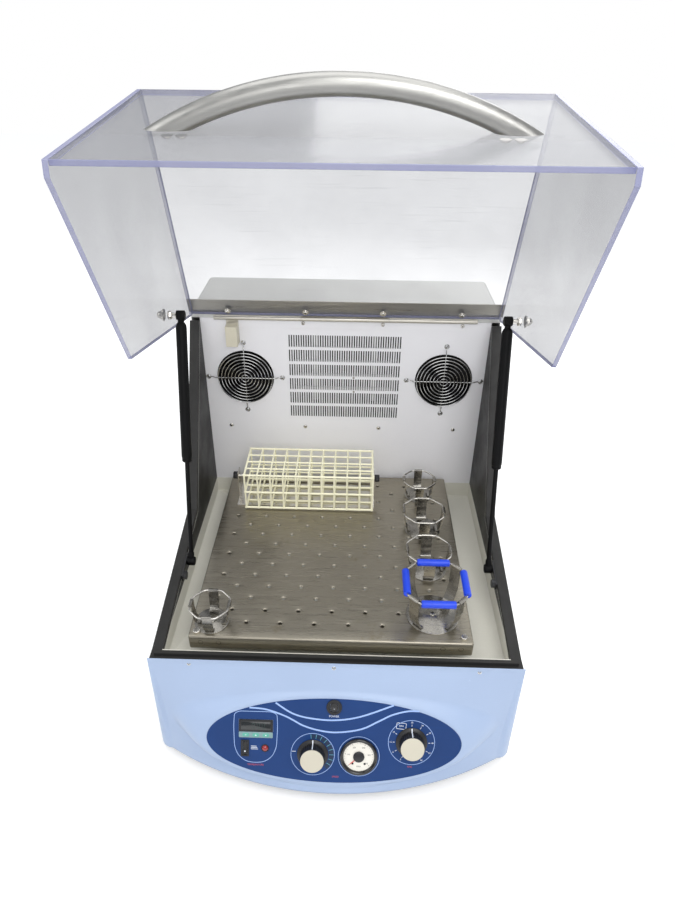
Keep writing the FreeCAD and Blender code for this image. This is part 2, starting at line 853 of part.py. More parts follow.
def fan_rotor(x):
    center = Vec(x, housing_front_y + fan_rotor_inset, fan_center_z)
    back = center + Vec(0, fan_rotor_depth, 0)
    hub = bar(fan_hub_radius, center, back)
    blades = []
    for index in range(fan_blade_count):
        blade = box(-fan_blade_thickness / 2, fan_blade_thickness / 2, -fan_blade_width / 2,
                    fan_blade_width / 2, fan_hub_radius - overrun, fan_blade_tip)
        blade.rotate(Vec(0, 0, 0), Z_AXIS, fan_blade_pitch)
        blade.translate(Vec(0, fan_rotor_depth / 2, 0))
        blade.rotate(Vec(0, 0, 0), Y_AXIS, index * FULL_TURN / fan_blade_count)
        blade.translate(center)
        blades.append(blade)
    whole = fuse([hub] + blades)
    socket = bar(fan_pin_radius + touch_gap, center + Vec(0, overrun, 0), back + Vec(0, overrun, 0))
    return whole.cut(socket)


def fan_guard(x):
    near = chamber_back_y - guard_stand_off - guard_wire
    far = chamber_back_y - guard_stand_off
    front = Vec(x, near, fan_center_z)
    back = Vec(x, far, fan_center_z)
    step = Y_AXIS * overrun
    pieces = [sided_bar(guard_hub_radius, guard_sides, front, back)]
    for share in guard_ring_radii_shares:
        radius = guard_outer_radius * share
        hole = sided_bar(radius - guard_wire, guard_sides, front - step, back + step)
        pieces.append(sided_bar(radius, guard_sides, front, back).cut(hole))
    reach = fan_lug_radius - guard_lug_radius
    for turn in range(4):
        arm = box(0, reach, far - guard_wire, far, -guard_wire / 2, guard_wire / 2)
        leg = box(reach - guard_wire, reach, far - guard_wire, chamber_back_y,
                  -guard_wire / 2, guard_wire / 2)
        lug = sided_bar(guard_lug_radius, guard_lug_sides,
                        Vec(fan_lug_radius, chamber_back_y - guard_lug_thickness, 0),
                        Vec(fan_lug_radius, chamber_back_y, 0))
        tab = box(reach - guard_wire, fan_lug_radius, chamber_back_y - guard_lug_thickness,
                  chamber_back_y, -guard_wire, guard_wire)
        for piece in (arm, leg, lug, tab):
            piece.rotate(Vec(0, 0, 0), Y_AXIS, turn * RIGHT_ANGLE)
            piece.translate(Vec(x, 0, fan_center_z))
            pieces.append(piece)
    return fuse(pieces)


# Air heater behind the grille: a rod in four passes on two brackets
heater_rod_radius = 4.0
heater_rod_sides = 8
heater_half_width = 100.0
heater_pass_count = 4
heater_pass_pitch = 30.0
heater_y_offset = 40.0
heater_bracket_width = 12.0
heater_bracket_sheet = 2.0
heater_bracket_x = 60.0


def heater_rods(y, bottom):
    pieces = []
    for index in range(heater_pass_count):
        z = bottom + index * heater_pass_pitch
        left = Vec(-heater_half_width, y, z)
        right = Vec(heater_half_width, y, z)
        pieces.append(sided_bar(heater_rod_radius, heater_rod_sides, left, right))
        turn = right if index % 2 == 0 else left
        if index < heater_pass_count - 1:
            over = Z_AXIS * heater_rod_radius
            pieces.append(sided_bar(heater_rod_radius, heater_rod_sides, turn - over,
                                    turn + over + Z_AXIS * heater_pass_pitch))
    return fuse(pieces)


def heater_element():
    y = housing_front_y + heater_y_offset
    bottom = grille_center_z - heater_pass_pitch * (heater_pass_count - 1) / 2
    shelf_z = bottom + heater_pass_pitch * (heater_pass_count + 1)
    near = y + heater_rod_radius
    far = near + heater_bracket_sheet
    brackets = []
    for x in (-heater_bracket_x, heater_bracket_x):
        half = heater_bracket_width / 2
        strip = box(x - half, x + half, near, far, bottom - heater_pass_pitch, shelf_z)
        shelf = box(x - half, x + half, housing_front_y, far,
                    shelf_z - heater_bracket_sheet, shelf_z)
        brackets.append(fuse([strip, shelf]))
    return group([heater_rods(y, bottom)] + brackets)


# Lid hinge: fixed leaf with its pin, and the lid's own knuckles on the strip
knuckle_radius = 4.5
knuckle_bore = 1.9
hinge_pin_radius = 1.6
hinge_half_length = 250.0
knuckle_count = 3
knuckle_gap = 0.5
leaf_depth = 16.0
leaf_sheet = 1.5


def knuckle_spans(parity):
    length = hinge_half_length * 2 / knuckle_count
    spans = []
    for index in range(knuckle_count):
        if index % 2 == parity:
            start = -hinge_half_length + index * length
            spans.append((start + knuckle_gap / 2, start + length - knuckle_gap / 2))
    return spans


def knuckle(x0, x1, bore):
    tube = bar(knuckle_radius, Vec(x0, lid_pivot_y, lid_pivot_z), Vec(x1, lid_pivot_y, lid_pivot_z))
    if bore > 0:
        tube = tube.cut(bar(bore, Vec(x0 - overrun, lid_pivot_y, lid_pivot_z),
                            Vec(x1 + overrun, lid_pivot_y, lid_pivot_z)))
    return tube


def hinge_leaf():
    leaf_top = lid_pivot_z - knuckle_radius - seal_gap
    leaf = box(-hinge_half_length, hinge_half_length, chamber_back_y - leaf_sheet,
               chamber_back_y, leaf_top - leaf_depth, leaf_top)
    pieces = [leaf]
    for x0, x1 in knuckle_spans(0):
        pieces.append(knuckle(x0, x1, 0))
        pieces.append(box(x0, x1, chamber_back_y - leaf_sheet, chamber_back_y,
                          leaf_top - leaf_sheet, lid_pivot_z))
    pin = bar(hinge_pin_radius, Vec(-hinge_half_length, lid_pivot_y, lid_pivot_z),
              Vec(hinge_half_length, lid_pivot_y, lid_pivot_z))
    return fuse(pieces + [pin])


# Heads and nuts of small fasteners
screw_sides = 6


# Lid shell: four glued sheets, drawn closed and swung open
handle_radius = 12.7
handle_sides = 16
handle_bow_radius = 441.0
handle_rise = 47.6
handle_from_foot = 128.0


def lid_side():
    outline = [(lid_nose_y, lid_nose_z), (lid_foot_y, lid_foot_z), (lid_toe_y, lid_toe_z),
               (lid_knee_y, lid_knee_z), (lid_heel_y, lid_heel_z), (lid_crest_y, lid_crest_z)]
    return prism_x(outline, half_lid_inner, half_lid)


def sheet_inside(start, end, start_bevel, end_bevel):
    """The outline of a sheet whose outer face runs from start to end."""
    inner = offset_chain([start, end], lid_sheet)
    run = ((end[0] - start[0]), (end[1] - start[1]))
    length = math.hypot(*run)
    unit = (run[0] / length, run[1] / length)
    a = (inner[0][0] + unit[0] * start_bevel, inner[0][1] + unit[1] * start_bevel)
    b = (inner[1][0] - unit[0] * end_bevel, inner[1][1] - unit[1] * end_bevel)
    return [start, end, b, a]


def nose_bevel():
    """How far a mitre at the nose draws back the inner faces of the two sheets."""
    top = math.atan2(lid_crest_z - lid_nose_z, lid_crest_y - lid_nose_y)
    front = math.atan2(lid_foot_z - lid_nose_z, lid_foot_y - lid_nose_y) % (2 * math.pi)
    inside = 2 * math.pi - (front - top)
    return lid_sheet / math.tan(inside / 2)


def lid_top():
    outline = sheet_inside((lid_nose_y, lid_nose_z), (lid_crest_y, lid_crest_z), nose_bevel(), 0)
    return prism_x(outline, -half_lid_inner, half_lid_inner)


def lid_front():
    outline = sheet_inside((lid_foot_y, lid_foot_z), (lid_nose_y, lid_nose_z), 0, nose_bevel())
    return prism_x(outline, -half_lid_inner, half_lid_inner)


def front_sheet_frame():
    """Foot of the front sheet, unit vector up the sheet and unit vector out of it."""
    foot = Vec(0, lid_foot_y, lid_foot_z)
    along = (Vec(0, lid_nose_y, lid_nose_z) - foot).normalize()
    out = Vec(0, -along.z, along.y)
    return foot, along, out


def lid_handle():
    foot, along, out = front_sheet_frame()
    seat = foot + along * handle_from_foot
    center = seat - out * (handle_bow_radius - handle_rise)
    drop = handle_bow_radius - handle_rise - handle_radius * 2
    reach = math.degrees(math.acos(drop / handle_bow_radius))
    corners = []
    for index in range(handle_sides + 1):
        across, up = polar(handle_radius, FULL_TURN * index / handle_sides)
        corners.append(center + out * (handle_bow_radius + up) + along * across)
    section = Part.Face(Part.makePolygon(corners))
    section.rotate(center, along, -reach)
    tube = section.revolve(center, along, reach * 2)
    half = handle_bow_radius
    block = Part.makeBox(half * 2, half * 2, half, Vec(-half, -half, -half))
    turn = math.degrees(math.atan2(out.z, out.y))
    block.rotate(Vec(0, 0, 0), X_AXIS, turn - RIGHT_ANGLE)
    block.translate(seat)
    return tube.cut(block)


handle_screw_head = 5.0
handle_screw_head_height = 3.5
handle_screw_x = (184.0, 201.0)


def handle_screws():
    foot, along, out = front_sheet_frame()
    seat = foot + along * handle_from_foot - out * lid_sheet
    made = []
    for x in handle_screw_x:
        for side in (-1, 1):
            place = seat + X_AXIS * (side * x)
            made.append(sided_bar(handle_screw_head, screw_sides,
                                  place - out * handle_screw_head_height, place))
    return made


# Stainless strip along the lid's hinge edge, outside the top sheet
strip_width = 30.0
strip_sheet = 1.5


def top_sheet_frame():
    """Crest of the top sheet, unit vector forward along it and unit vector out of it."""
    crest = Vec(0, lid_crest_y, lid_crest_z)
    along = (Vec(0, lid_nose_y, lid_nose_z) - crest).normalize()
    out = Vec(0, along.z, -along.y)
    return crest, along, out


def lid_hinge_strip():
    crest, along, out = top_sheet_frame()
    front = crest + along * strip_width
    top_front = front + out * strip_sheet
    top_back = Vec(0, lid_pivot_y, lid_pivot_z + knuckle_radius)
    low_back = Vec(0, lid_pivot_y, lid_pivot_z + knuckle_radius - strip_sheet)
    edge = crest + out * strip_sheet
    strip = prism_x([(crest.y, crest.z), (front.y, front.z), (top_front.y, top_front.z),
                     (edge.y, edge.z)], -half_lid, half_lid)
    pieces = [strip]
    for x0, x1 in knuckle_spans(1):
        pieces.append(knuckle(x0, x1, knuckle_bore))
        pieces.append(prism_x([(crest.y, crest.z), (edge.y, edge.z), (top_back.y, top_back.z),
                               (low_back.y, low_back.z)], x0, x1))
    return fuse(pieces)


# Gas springs between the side liners and the lid
spring_x = 267.5
spring_low_y = -98.1
spring_low_z = 240.3
stud_open_y = 34.5
stud_open_z = 656.7
spring_tube_radius = 9.0
spring_rod_radius = 4.0
rod_clearance = 0.3
socket_radius = 8.0
eye_sides = 12
neck_length = 3.0
socket_half_length = 7.0
rod_exposed = 187.0
rod_engaged = 28.0
tube_cap = 8.0
stud_radius = 4.0
collar_radius = 7.0
collar_length = 6.0
spring_mount_gap = 0.3
nut_radius = 6.5
nut_length = 12.0
washer_radius = 10.0
washer_thickness = 2.0
ball_clearance = 0.3
bracket_thickness = 3.0
bracket_width = 14.0
bracket_length = 52.0
bracket_back_share = 0.75


def spring_axis():
    """Lower pivot, upper pivot and the unit vector between them, on the right side."""
    low = Vec(spring_x, spring_low_y, spring_low_z)
    high = Vec(spring_x, stud_open_y, stud_open_z)
    return low, high, (high - low).normalize()


def socket(center):
    half = X_AXIS * socket_half_length
    return bar(socket_radius, center - half, center + half)


def spring_rod():
    low, high, along = spring_axis()
    shaft = bar(spring_rod_radius, low, low + along * (rod_exposed + rod_engaged))
    bore = bar(stud_radius + ball_clearance, low - X_AXIS * (socket_half_length - sheet),
               low + X_AXIS * (socket_half_length + overrun))
    return fuse([shaft, socket(low)]).cut(bore)


def spring_tube():
    low, high, along = spring_axis()
    start = low + along * rod_exposed
    end = high - along * (socket_radius + neck_length)
    outer = bar(spring_tube_radius, start, end)
    bore = bar(spring_rod_radius + rod_clearance, start - along * overrun,
               end - along * tube_cap)
    neck = sided_bar(spring_rod_radius, screw_sides, end - along * tube_cap / 2, high)
    face_x = half_lid_inner - spring_mount_gap
    face = Vec(face_x, high.y, high.z)
    half = X_AXIS * socket_half_length
    eye = sided_bar(socket_radius, eye_sides, high - half, high + half)
    stud = sided_bar(stud_radius, screw_sides, high, face)
    collar = sided_bar(collar_radius, screw_sides, face - X_AXIS * collar_length, face)
    return fuse([outer.cut(bore), neck, eye, stud, collar])


def spring_brackets():
    """A strip on each side liner with the lower ball stud."""
    low = spring_axis()[0]
    slope_start = rim_metal_under[1]
    slope_end = rim_metal_under[2]
    run = Vec(0, slope_end[0] - slope_start[0], slope_end[1] - slope_start[1]).normalize()
    down = Vec(0, run.z, -run.y)
    face_x = half_chamber - bracket_thickness
    ends = [low - run * (bracket_length * bracket_back_share),
            low + run * (bracket_length * (1 - bracket_back_share))]
    half = down * (bracket_width / 2)
    outline = [ends[0] - half, ends[1] - half, ends[1] + half, ends[0] + half]
    strip = prism_x([(p.y, p.z) for p in outline], face_x, half_chamber)
    stud = bar(stud_radius, low - X_AXIS * (socket_half_length - sheet - touch_gap),
               Vec(face_x, low.y, low.z))
    nut_place = ends[0] + run * bracket_width / 2
    nut = sided_bar(nut_radius, screw_sides,
                    Vec(face_x - nut_length / 2, nut_place.y, nut_place.z),
                    Vec(face_x, nut_place.y, nut_place.z))
    return group(both_sides(fuse([strip, stud, nut])))


def lid_stud_nuts():
    """Washer and domed nut outside the lid, one set on each side, swung open already."""
    high = spring_axis()[1]
    face = Vec(half_lid, high.y, high.z)
    dome_start = face + X_AXIS * (nut_length - nut_radius)
    washer = sided_bar(washer_radius, eye_sides, face, face + X_AXIS * washer_thickness)
    nut = sided_bar(nut_radius, screw_sides, face, dome_start)
    dome = Part.makeCone(nut_radius, nut_radius / 2, nut_radius, dome_start, X_AXIS)
    return both_sides(fuse([washer, nut, dome]))


# Drive: plate on four posts, three bearing housings, three cranks, motor and belt
drive_plate_z = 120.0
drive_plate_thickness = 8.0
drive_plate_half = 200.0
drive_plate_front = 175.0
drive_plate_back = 165.0
post_radius = 10.0
shaft_radius = 10.0
bearing_radius = 26.0
bearing_top_z = 165.0
bearing_gap = 0.05
crank_arm_half = 16.0
crank_arm_low = 183.0
crank_arm_high = 193.0
crank_pin_radius = 6.0
crank_pin_top = 224.0
main_shaft_low = 60.0
idler_shaft_low = 100.0
pulley_radius = 80.0
pulley_low = 70.0
pulley_high = 88.0
weight_radius = 75.0
weight_low = 94.0
weight_high = 112.0
weight_half_angle = 75.0
motor_pulley_radius = 22.0
motor_distance = 165.0
motor_radius = 45.0
motor_low = 128.0
motor_height = 38.0
motor_shaft_radius = 6.0
belt_thickness = 2.0
belt_height = 12.0
carriage_half_x = 190.0
carriage_front = 150.0
carriage_back = 160.0
carriage_thickness = 8.0
boss_radius = 17.0
boss_low = 196.0


def motor_place():
    main = crank_places()[0]
    return main + Vec(motor_distance, 0, 0)


def drive_plate():
    top = drive_plate_z + drive_plate_thickness
    plate = box(-drive_plate_half, drive_plate_half, center_y - drive_plate_front,
                center_y + drive_plate_back, drive_plate_z, top)
    pieces = [plate]
    inset = post_radius * 2
    for x in (-drive_plate_half + inset, drive_plate_half - inset):
        for y in (center_y - drive_plate_front + inset, center_y + drive_plate_back - inset):
            pieces.append(box(x - post_radius, x + post_radius, y - post_radius,
                              y + post_radius, ground_clearance + pan_sheet, drive_plate_z))
    holes = []
    for place in crank_places():
        holes.append(regular(shaft_radius + overrun, tub_hole_sides, place,
                             drive_plate_z - overrun, top + overrun))
    holes.append(regular(motor_shaft_radius + overrun, tub_hole_sides, motor_place(),
                         drive_plate_z - overrun, top + overrun))
    return cut(fuse(pieces), holes)


def drive_bearings():
    low = drive_plate_z + drive_plate_thickness
    made = []
    for place in crank_places():
        block = regular(bearing_radius, 4, place, low, bearing_top_z)
        made.append(block.cut(bar(shaft_radius + bearing_gap, place + Vec(0, 0, low - overrun),
                                  place + Vec(0, 0, bearing_top_z + overrun))))
    return group(made)


def crank(place, shaft_low):
    """A shaft with a flat arm on top and a pin set off the shaft by the orbit radius."""
    shaft = bar(shaft_radius, place + Vec(0, 0, shaft_low), place + Vec(0, 0, crank_arm_high))
    collar = regular(shaft_radius + overrun, tub_hole_sides, place,
                     bearing_top_z + touch_gap, crank_arm_high)
    arm = box(-crank_arm_half, crank_arm_half + orbit_radius, -crank_arm_half, crank_arm_half,
              crank_arm_low, crank_arm_high)
    arm.rotate(Vec(0, 0, 0), Z_AXIS, orbit_rest_angle)
    arm.translate(place)
    pin_foot = place + Vec(platform_shift_x, platform_shift_y, crank_arm_high)
    pin = bar(crank_pin_radius, pin_foot, pin_foot + Vec(0, 0, crank_pin_top - crank_arm_high))
    return fuse([shaft, collar, arm, pin])


def main_crank():
    place = crank_places()[0]
    pulley = bar(pulley_radius, place + Vec(0, 0, pulley_low), place + Vec(0, 0, pulley_high))
    hub = regular(shaft_radius + overrun, tub_hole_sides, place, pulley_high, weight_high)
    weight = Part.makeCylinder(weight_radius, weight_high - weight_low, Vec(0, 0, weight_low),
                               Z_AXIS, weight_half_angle * 2)
    weight.rotate(Vec(0, 0, 0), Z_AXIS, orbit_rest_angle + RIGHT_ANGLE * 2 - weight_half_angle)
    weight.translate(place)
    return fuse([crank(place, main_shaft_low), pulley, hub, weight])


def motor_pulley():
    place = motor_place()
    wheel = bar(motor_pulley_radius, place + Vec(0, 0, pulley_low), place + Vec(0, 0, pulley_high))
    shaft = bar(motor_shaft_radius, place + Vec(0, 0, pulley_high),
                place + Vec(0, 0, drive_plate_z + drive_plate_thickness))
    return fuse([wheel, shaft])


def drive_motor():
    place = motor_place()
    low = drive_plate_z + drive_plate_thickness
    body = regular(motor_radius, 4, place, low, low + motor_height)
    bore = bar(motor_shaft_radius + touch_gap, place + Vec(0, 0, low - overrun),
               place + Vec(0, 0, low + touch_gap))
    return body.cut(bore)


def belt_outline(grow):
    """A face bounded by the belt's run round the two pulleys, drawn out by grow."""
    main = crank_places()[0]
    motor = motor_place()
    big = pulley_radius + grow
    small = motor_pulley_radius + grow
    tilt = math.acos((pulley_radius - motor_pulley_radius) / motor_distance)
    z = pulley_low + (pulley_high - pulley_low - belt_height) / 2

    def spot(center, radius, angle):
        return Vec(center.x + radius * math.cos(angle), center.y + radius * math.sin(angle), z)

    edges = [Part.Arc(spot(main, big, tilt), spot(main, big, math.pi),
                      spot(main, big, -tilt)).toShape(),
             Part.LineSegment(spot(main, big, -tilt), spot(motor, small, -tilt)).toShape(),
             Part.Arc(spot(motor, small, -tilt), spot(motor, small, 0),
                      spot(motor, small, tilt)).toShape(),
             Part.LineSegment(spot(motor, small, tilt), spot(main, big, tilt)).toShape()]
    return Part.Face(Part.Wire(edges))


def drive_belt():
    outer = belt_outline(touch_gap + belt_thickness).extrude(Vec(0, 0, belt_height))
    inner = belt_outline(touch_gap).extrude(Vec(0, 0, belt_height))
    return outer.cut(inner)


# Platform, its carriage, and what stands on it
def hole_grid():
    """Places of the threaded holes, in a staggered pattern about the platform's middle."""
    places = []
    first = -hole_pitch_x * (hole_columns - 1) / 2
    rows = 2 * hole_columns - 1
    for row in range(rows):
        y = first + row * hole_row_step
        shift = 0 if row % 2 == 0 else hole_pitch_x / 2
        count = hole_columns if row % 2 == 0 else hole_columns - 1
        for column in range(count):
            places.append((first + shift + column * hole_pitch_x, y))
    return places


def platform():
    half = half_platform
    low = platform_top_z - platform_flange
    outer = box(-half, half, -half, half, low, platform_top_z)
    inner = box(-half + platform_sheet, half - platform_sheet, -half + platform_sheet,
                half - platform_sheet, low - overrun, platform_top_z - platform_sheet)
    tray = outer.cut(inner)
    holes = []
    mounts = [(column * hole_pitch_x, row * hole_pitch_x)
              for column in mount_columns for row in mount_rows]
    low_cut = platform_top_z - platform_sheet - overrun
    high_cut = platform_top_z + overrun
    for x, y in hole_grid():
        place = Vec(x, y, 0)
        if min(math.hypot(x - a, y - b) for a, b in mounts) < touch_gap:
            holes.append(bar(hole_radius, place + Vec(0, 0, low_cut), place + Vec(0, 0, high_cut)))
        else:
            holes.append(regular(hole_radius, hole_sides, place, low_cut, high_cut))
    for x in platform_front_hole_x:
        for side in (-1, 1):
            place = Vec(side * x, -half, platform_top_z - platform_flange / 2)
            holes.append(sided_bar(platform_front_hole_radius, hole_sides,
                                   place - Y_AXIS * overrun, place + Y_AXIS * overrun))
    tray = cut(tray, holes)
    tray.translate(platform_center)
    return tray


def platform_carriage():
    top = platform_top_z - platform_sheet
    low = top - carriage_thickness
    plate = box(-carriage_half_x, carriage_half_x, center_y - carriage_front,
                center_y + carriage_back, low, top)
    pieces = [plate]
    holes = []
    for place in crank_places():
        pieces.append(regular(boss_radius, 4, place, boss_low, low))
        holes.append(bar(crank_pin_radius + bearing_gap, place + Vec(0, 0, boss_low - overrun),
                         place + Vec(0, 0, crank_pin_top + touch_gap)))
    whole = cut(fuse(pieces), holes)
    whole.translate(Vec(platform_shift_x, platform_shift_y, 0))
    return whole


# Flask clamps: four bent legs on a base disc, with a wire spring round their tops
clamp_base_thickness = 1.5
leg_width = 19.0
leg_sheet = 1.5
wire_radius = 1.6
small_clamp = {"ring": 31.0, "side": 14.0, "height": 42.0, "foot": 25.0, "leg_turn": 0.0}
middle_clamp = {"ring": 38.0, "side": 17.0, "height": 48.0, "foot": 31.0, "leg_turn": 0.0}
large_clamp = {"ring": 47.5, "side": 28.0, "height": 75.0, "foot": 41.0, "leg_turn": 45.0}
clamp_base_margin = 3.0
clamp_base_sides = 16
leg_bulge_share = 0.45
clamp_screw_radius = 6.0
clamp_screw_height = 3.0
sleeve_radius = 6.0
sleeve_half_length = 27.0
sleeve_sides = 12


def grid_point(column, row):
    """A hole of the platform's grid, counted in pitches from its middle."""
    return platform_center + Vec(column * hole_pitch_x, row * hole_pitch_x, platform_top_z)


def leg_reach(size):
    """How far from the middle the outer face of a leg meets the wire ring."""
    reach = size["ring"]
    if size["leg_turn"] > 0:
        reach = (size["ring"] + size["side"]) / math.sqrt(2)
    return reach - wire_radius


def clamp_leg(size):
    """One leg as a bent strip, leaning out from the base and then upright to the ring."""
    foot = size["foot"]
    reach = leg_reach(size)
    height = size["height"]
    bulge = height * leg_bulge_share
    outline = [(foot - leg_sheet, 0), (reach - leg_sheet, bulge), (reach - leg_sheet, height),
               (reach, height), (reach, bulge), (foot, 0)]
    return prism_x(outline, -leg_width / 2, leg_width / 2)


def clamp_frame(size, place):
    center = Vec(0, 0, 0)
    base = regular(size["foot"] + clamp_base_margin, clamp_base_sides, center,
                   0, clamp_base_thickness)
    screw = regular(clamp_screw_radius, screw_sides, center, clamp_base_thickness,
                    clamp_base_thickness + clamp_screw_height)
    pieces = [base, screw]
    for turn in range(4):
        leg = clamp_leg(size)
        leg.rotate(Vec(0, 0, 0), Z_AXIS, size["leg_turn"] + turn * RIGHT_ANGLE)
        pieces.append(leg)
    whole = fuse(pieces)
    whole.translate(place)
    return whole


def ring_outline(size, grow):
    """The wire ring as an octagon with its long sides square to the platform."""
    reach = size["ring"] + grow
    half = size["side"] + grow * (math.sqrt(2) - 1)
    return [(reach, -half), (reach, half), (half, reach), (-half, reach),
            (-reach, half), (-reach, -half), (-half, -reach), (half, -reach)]


def clamp_wire(size, place):
    low = size["height"] - wire_radius * 3
    high = size["height"] - wire_radius
    outer = prism_z(ring_outline(size, wire_radius), low, high)
    whole = outer.cut(prism_z(ring_outline(size, -wire_radius), low - overrun, high + overrun))
    whole.translate(place)
    return whole


clamp_sites = ((small_clamp, (-3.5, -3.5)), (small_clamp, (3.0, 3.0)),
               (middle_clamp, (3.0, 1.0)), (middle_clamp, (3.0, -1.0)),
               (large_clamp, (3.0, -3.0)))


def flask_clamps():
    return group([clamp_frame(size, grid_point(*site)) for size, site in clamp_sites])


def clamp_springs():
    return group([clamp_wire(size, grid_point(*site)) for size, site in clamp_sites])


def clamp_sleeves():
    """Four soft sleeves on the large clamp's wire."""
    size, site = clamp_sites[-1]
    place = grid_point(*site)
    z = size["height"] - wire_radius * 2
    reach = size["ring"]
    bore = wire_radius + touch_gap
    made = []
    for turn in range(4):
        start = Vec(-sleeve_half_length, reach, z)
        end = Vec(sleeve_half_length, reach, z)
        room = box(-sleeve_half_length - overrun, sleeve_half_length + overrun,
                   reach - bore, reach + bore, z - bore, z + bore)
        sleeve = sided_bar(sleeve_radius, sleeve_sides, start, end).cut(room)
        sleeve.rotate(Vec(0, 0, 0), Z_AXIS, turn * RIGHT_ANGLE)
        sleeve.translate(place)
        made.append(sleeve)
    return group(made)


# Tube rack in its holder
rack_left_x = -193.6
rack_right_x = 63.4
rack_front_y = 64.0
rack_back_y = 166.0
rack_height = 82.0
rack_columns = 10
rack_rows = 4
rack_wire = 3.2
holder_sheet = 2.0
holder_side_space = 16.0
holder_arm_width = 24.0
holder_pivot_height = 46.0
thumb_radius = 7.5
thumb_sides = 16
thumb_length = 10.0
thumb_stem_radius = 2.5
rack_level_shares = (0.0, 0.48, 1.0)

rack_floor_z = platform_top_z + holder_sheet
rack_mid_y = (rack_front_y + rack_back_y) / 2


def rack_grid(z):
    """One flat level of the rack with square tube openings."""
    plate = box(rack_left_x, rack_right_x, rack_front_y, rack_back_y, z, z + rack_wire)
    pitch_x = (rack_right_x - rack_left_x - rack_wire) / rack_columns
    pitch_y = (rack_back_y - rack_front_y - rack_wire) / rack_rows
    openings = []
    for column in range(rack_columns):
        x0 = rack_left_x + rack_wire + column * pitch_x
        for row in range(rack_rows):
            y0 = rack_front_y + rack_wire + row * pitch_y
            openings.append(box(x0, x0 + pitch_x - rack_wire, y0, y0 + pitch_y - rack_wire,
                                z - overrun, z + rack_wire + overrun))
    return cut(plate, openings)


def tube_rack():
    pieces = []
    for share in rack_level_shares:
        pieces.append(rack_grid(rack_floor_z + (rack_height - rack_wire) * share))
    pitch_x = (rack_right_x - rack_left_x - rack_wire) / rack_columns
    for column in range(rack_columns + 1):
        x = rack_left_x + column * pitch_x
        for y in (rack_front_y, rack_back_y - rack_wire):
            pieces.append(box(x, x + rack_wire, y, y + rack_wire,
                              rack_floor_z, rack_floor_z + rack_height))
    return fuse(pieces)


def rack_holder():
    left = rack_left_x - holder_side_space
    right = rack_right_x + touch_gap
    half = holder_arm_width / 2
    floor = box(left - holder_sheet, right + holder_sheet, rack_front_y + half,
                rack_back_y - half, platform_top_z, rack_floor_z)
    top = rack_floor_z + holder_pivot_height + half
    arms = [box(left - holder_sheet, left, rack_mid_y - half, rack_mid_y + half,
                platform_top_z, top),
            box(right, right + holder_sheet, rack_mid_y - half, rack_mid_y + half,
                platform_top_z, top)]
    pivot_z = rack_floor_z + holder_pivot_height
    hole = bar(thumb_stem_radius + touch_gap, Vec(left - overrun, rack_mid_y, pivot_z),
               Vec(right + overrun, rack_mid_y, pivot_z))
    return fuse([floor] + arms).cut(hole)


def rack_thumb(side):
    """A thumb screw through the holder's arm."""
    pivot_z = rack_floor_z + holder_pivot_height
    if side < 0:
        face = rack_left_x - holder_side_space - holder_sheet
        end = rack_left_x - touch_gap
    else:
        face = rack_right_x + touch_gap + holder_sheet
        end = rack_right_x + touch_gap / 2
    start = face + side * touch_gap
    head = sided_bar(thumb_radius, thumb_sides, Vec(start, rack_mid_y, pivot_z),
                     Vec(start + side * thumb_length, rack_mid_y, pivot_z))
    stem = bar(thumb_stem_radius, Vec(end, rack_mid_y, pivot_z), Vec(start, rack_mid_y, pivot_z))
    return fuse([head, stem])


# Lid switch on the rear wall
switch_x = -216.0
switch_width = 24.0
switch_sheet = 1.5
switch_block_low = 537.0
switch_block_high = 577.0
switch_block_width = 22.0
switch_block_depth = 20.0


def lid_switch():
    half = switch_width / 2
    near = chamber_back_y - leaf_sheet - switch_sheet
    leaf_top = lid_pivot_z - knuckle_radius - seal_gap
    plate = box(switch_x - half, switch_x + half, near, chamber_back_y - leaf_sheet,
                switch_block_low, leaf_top)
    half_block = switch_block_width / 2
    block = box(switch_x - half_block, switch_x + half_block, near - switch_block_depth, near,
                switch_block_low, switch_block_high)
    spacer = box(switch_x - half, switch_x + half, chamber_back_y - leaf_sheet, chamber_back_y,
                 switch_block_low, leaf_top - leaf_depth)
    return fuse([plate, spacer, block])


# Screws that show
screw_head_radius = 4.0
screw_head_height = 2.2
wall_screw_x = (77.0, 233.0)
wall_screw_low_z = 348.0
tub_screw_x = 97.0
tub_screw_drop = 4.0


def cabinet_screws():
    made = []
    for x in wall_screw_x:
        for side in (-1, 1):
            place = Vec(side * x, chamber_back_y, wall_screw_low_z)
            made.append(sided_bar(screw_head_radius, screw_sides,
                                  place - Y_AXIS * screw_head_height, place))
    for side in (-1, 1):
        place = Vec(side * tub_screw_x, chamber_front_y, rim_front_z - tub_screw_drop)
        made.append(sided_bar(screw_head_radius, screw_sides, place,
                              place + Y_AXIS * screw_head_height))
    return group(made)


def save(name, shape):
    for solid in shape.Solids:
        if not solid.isValid():
            print("not valid:", name)
    shape.exportStep("parts/" + name + ".step")
    print(name, len(shape.Solids), round(shape.Volume))


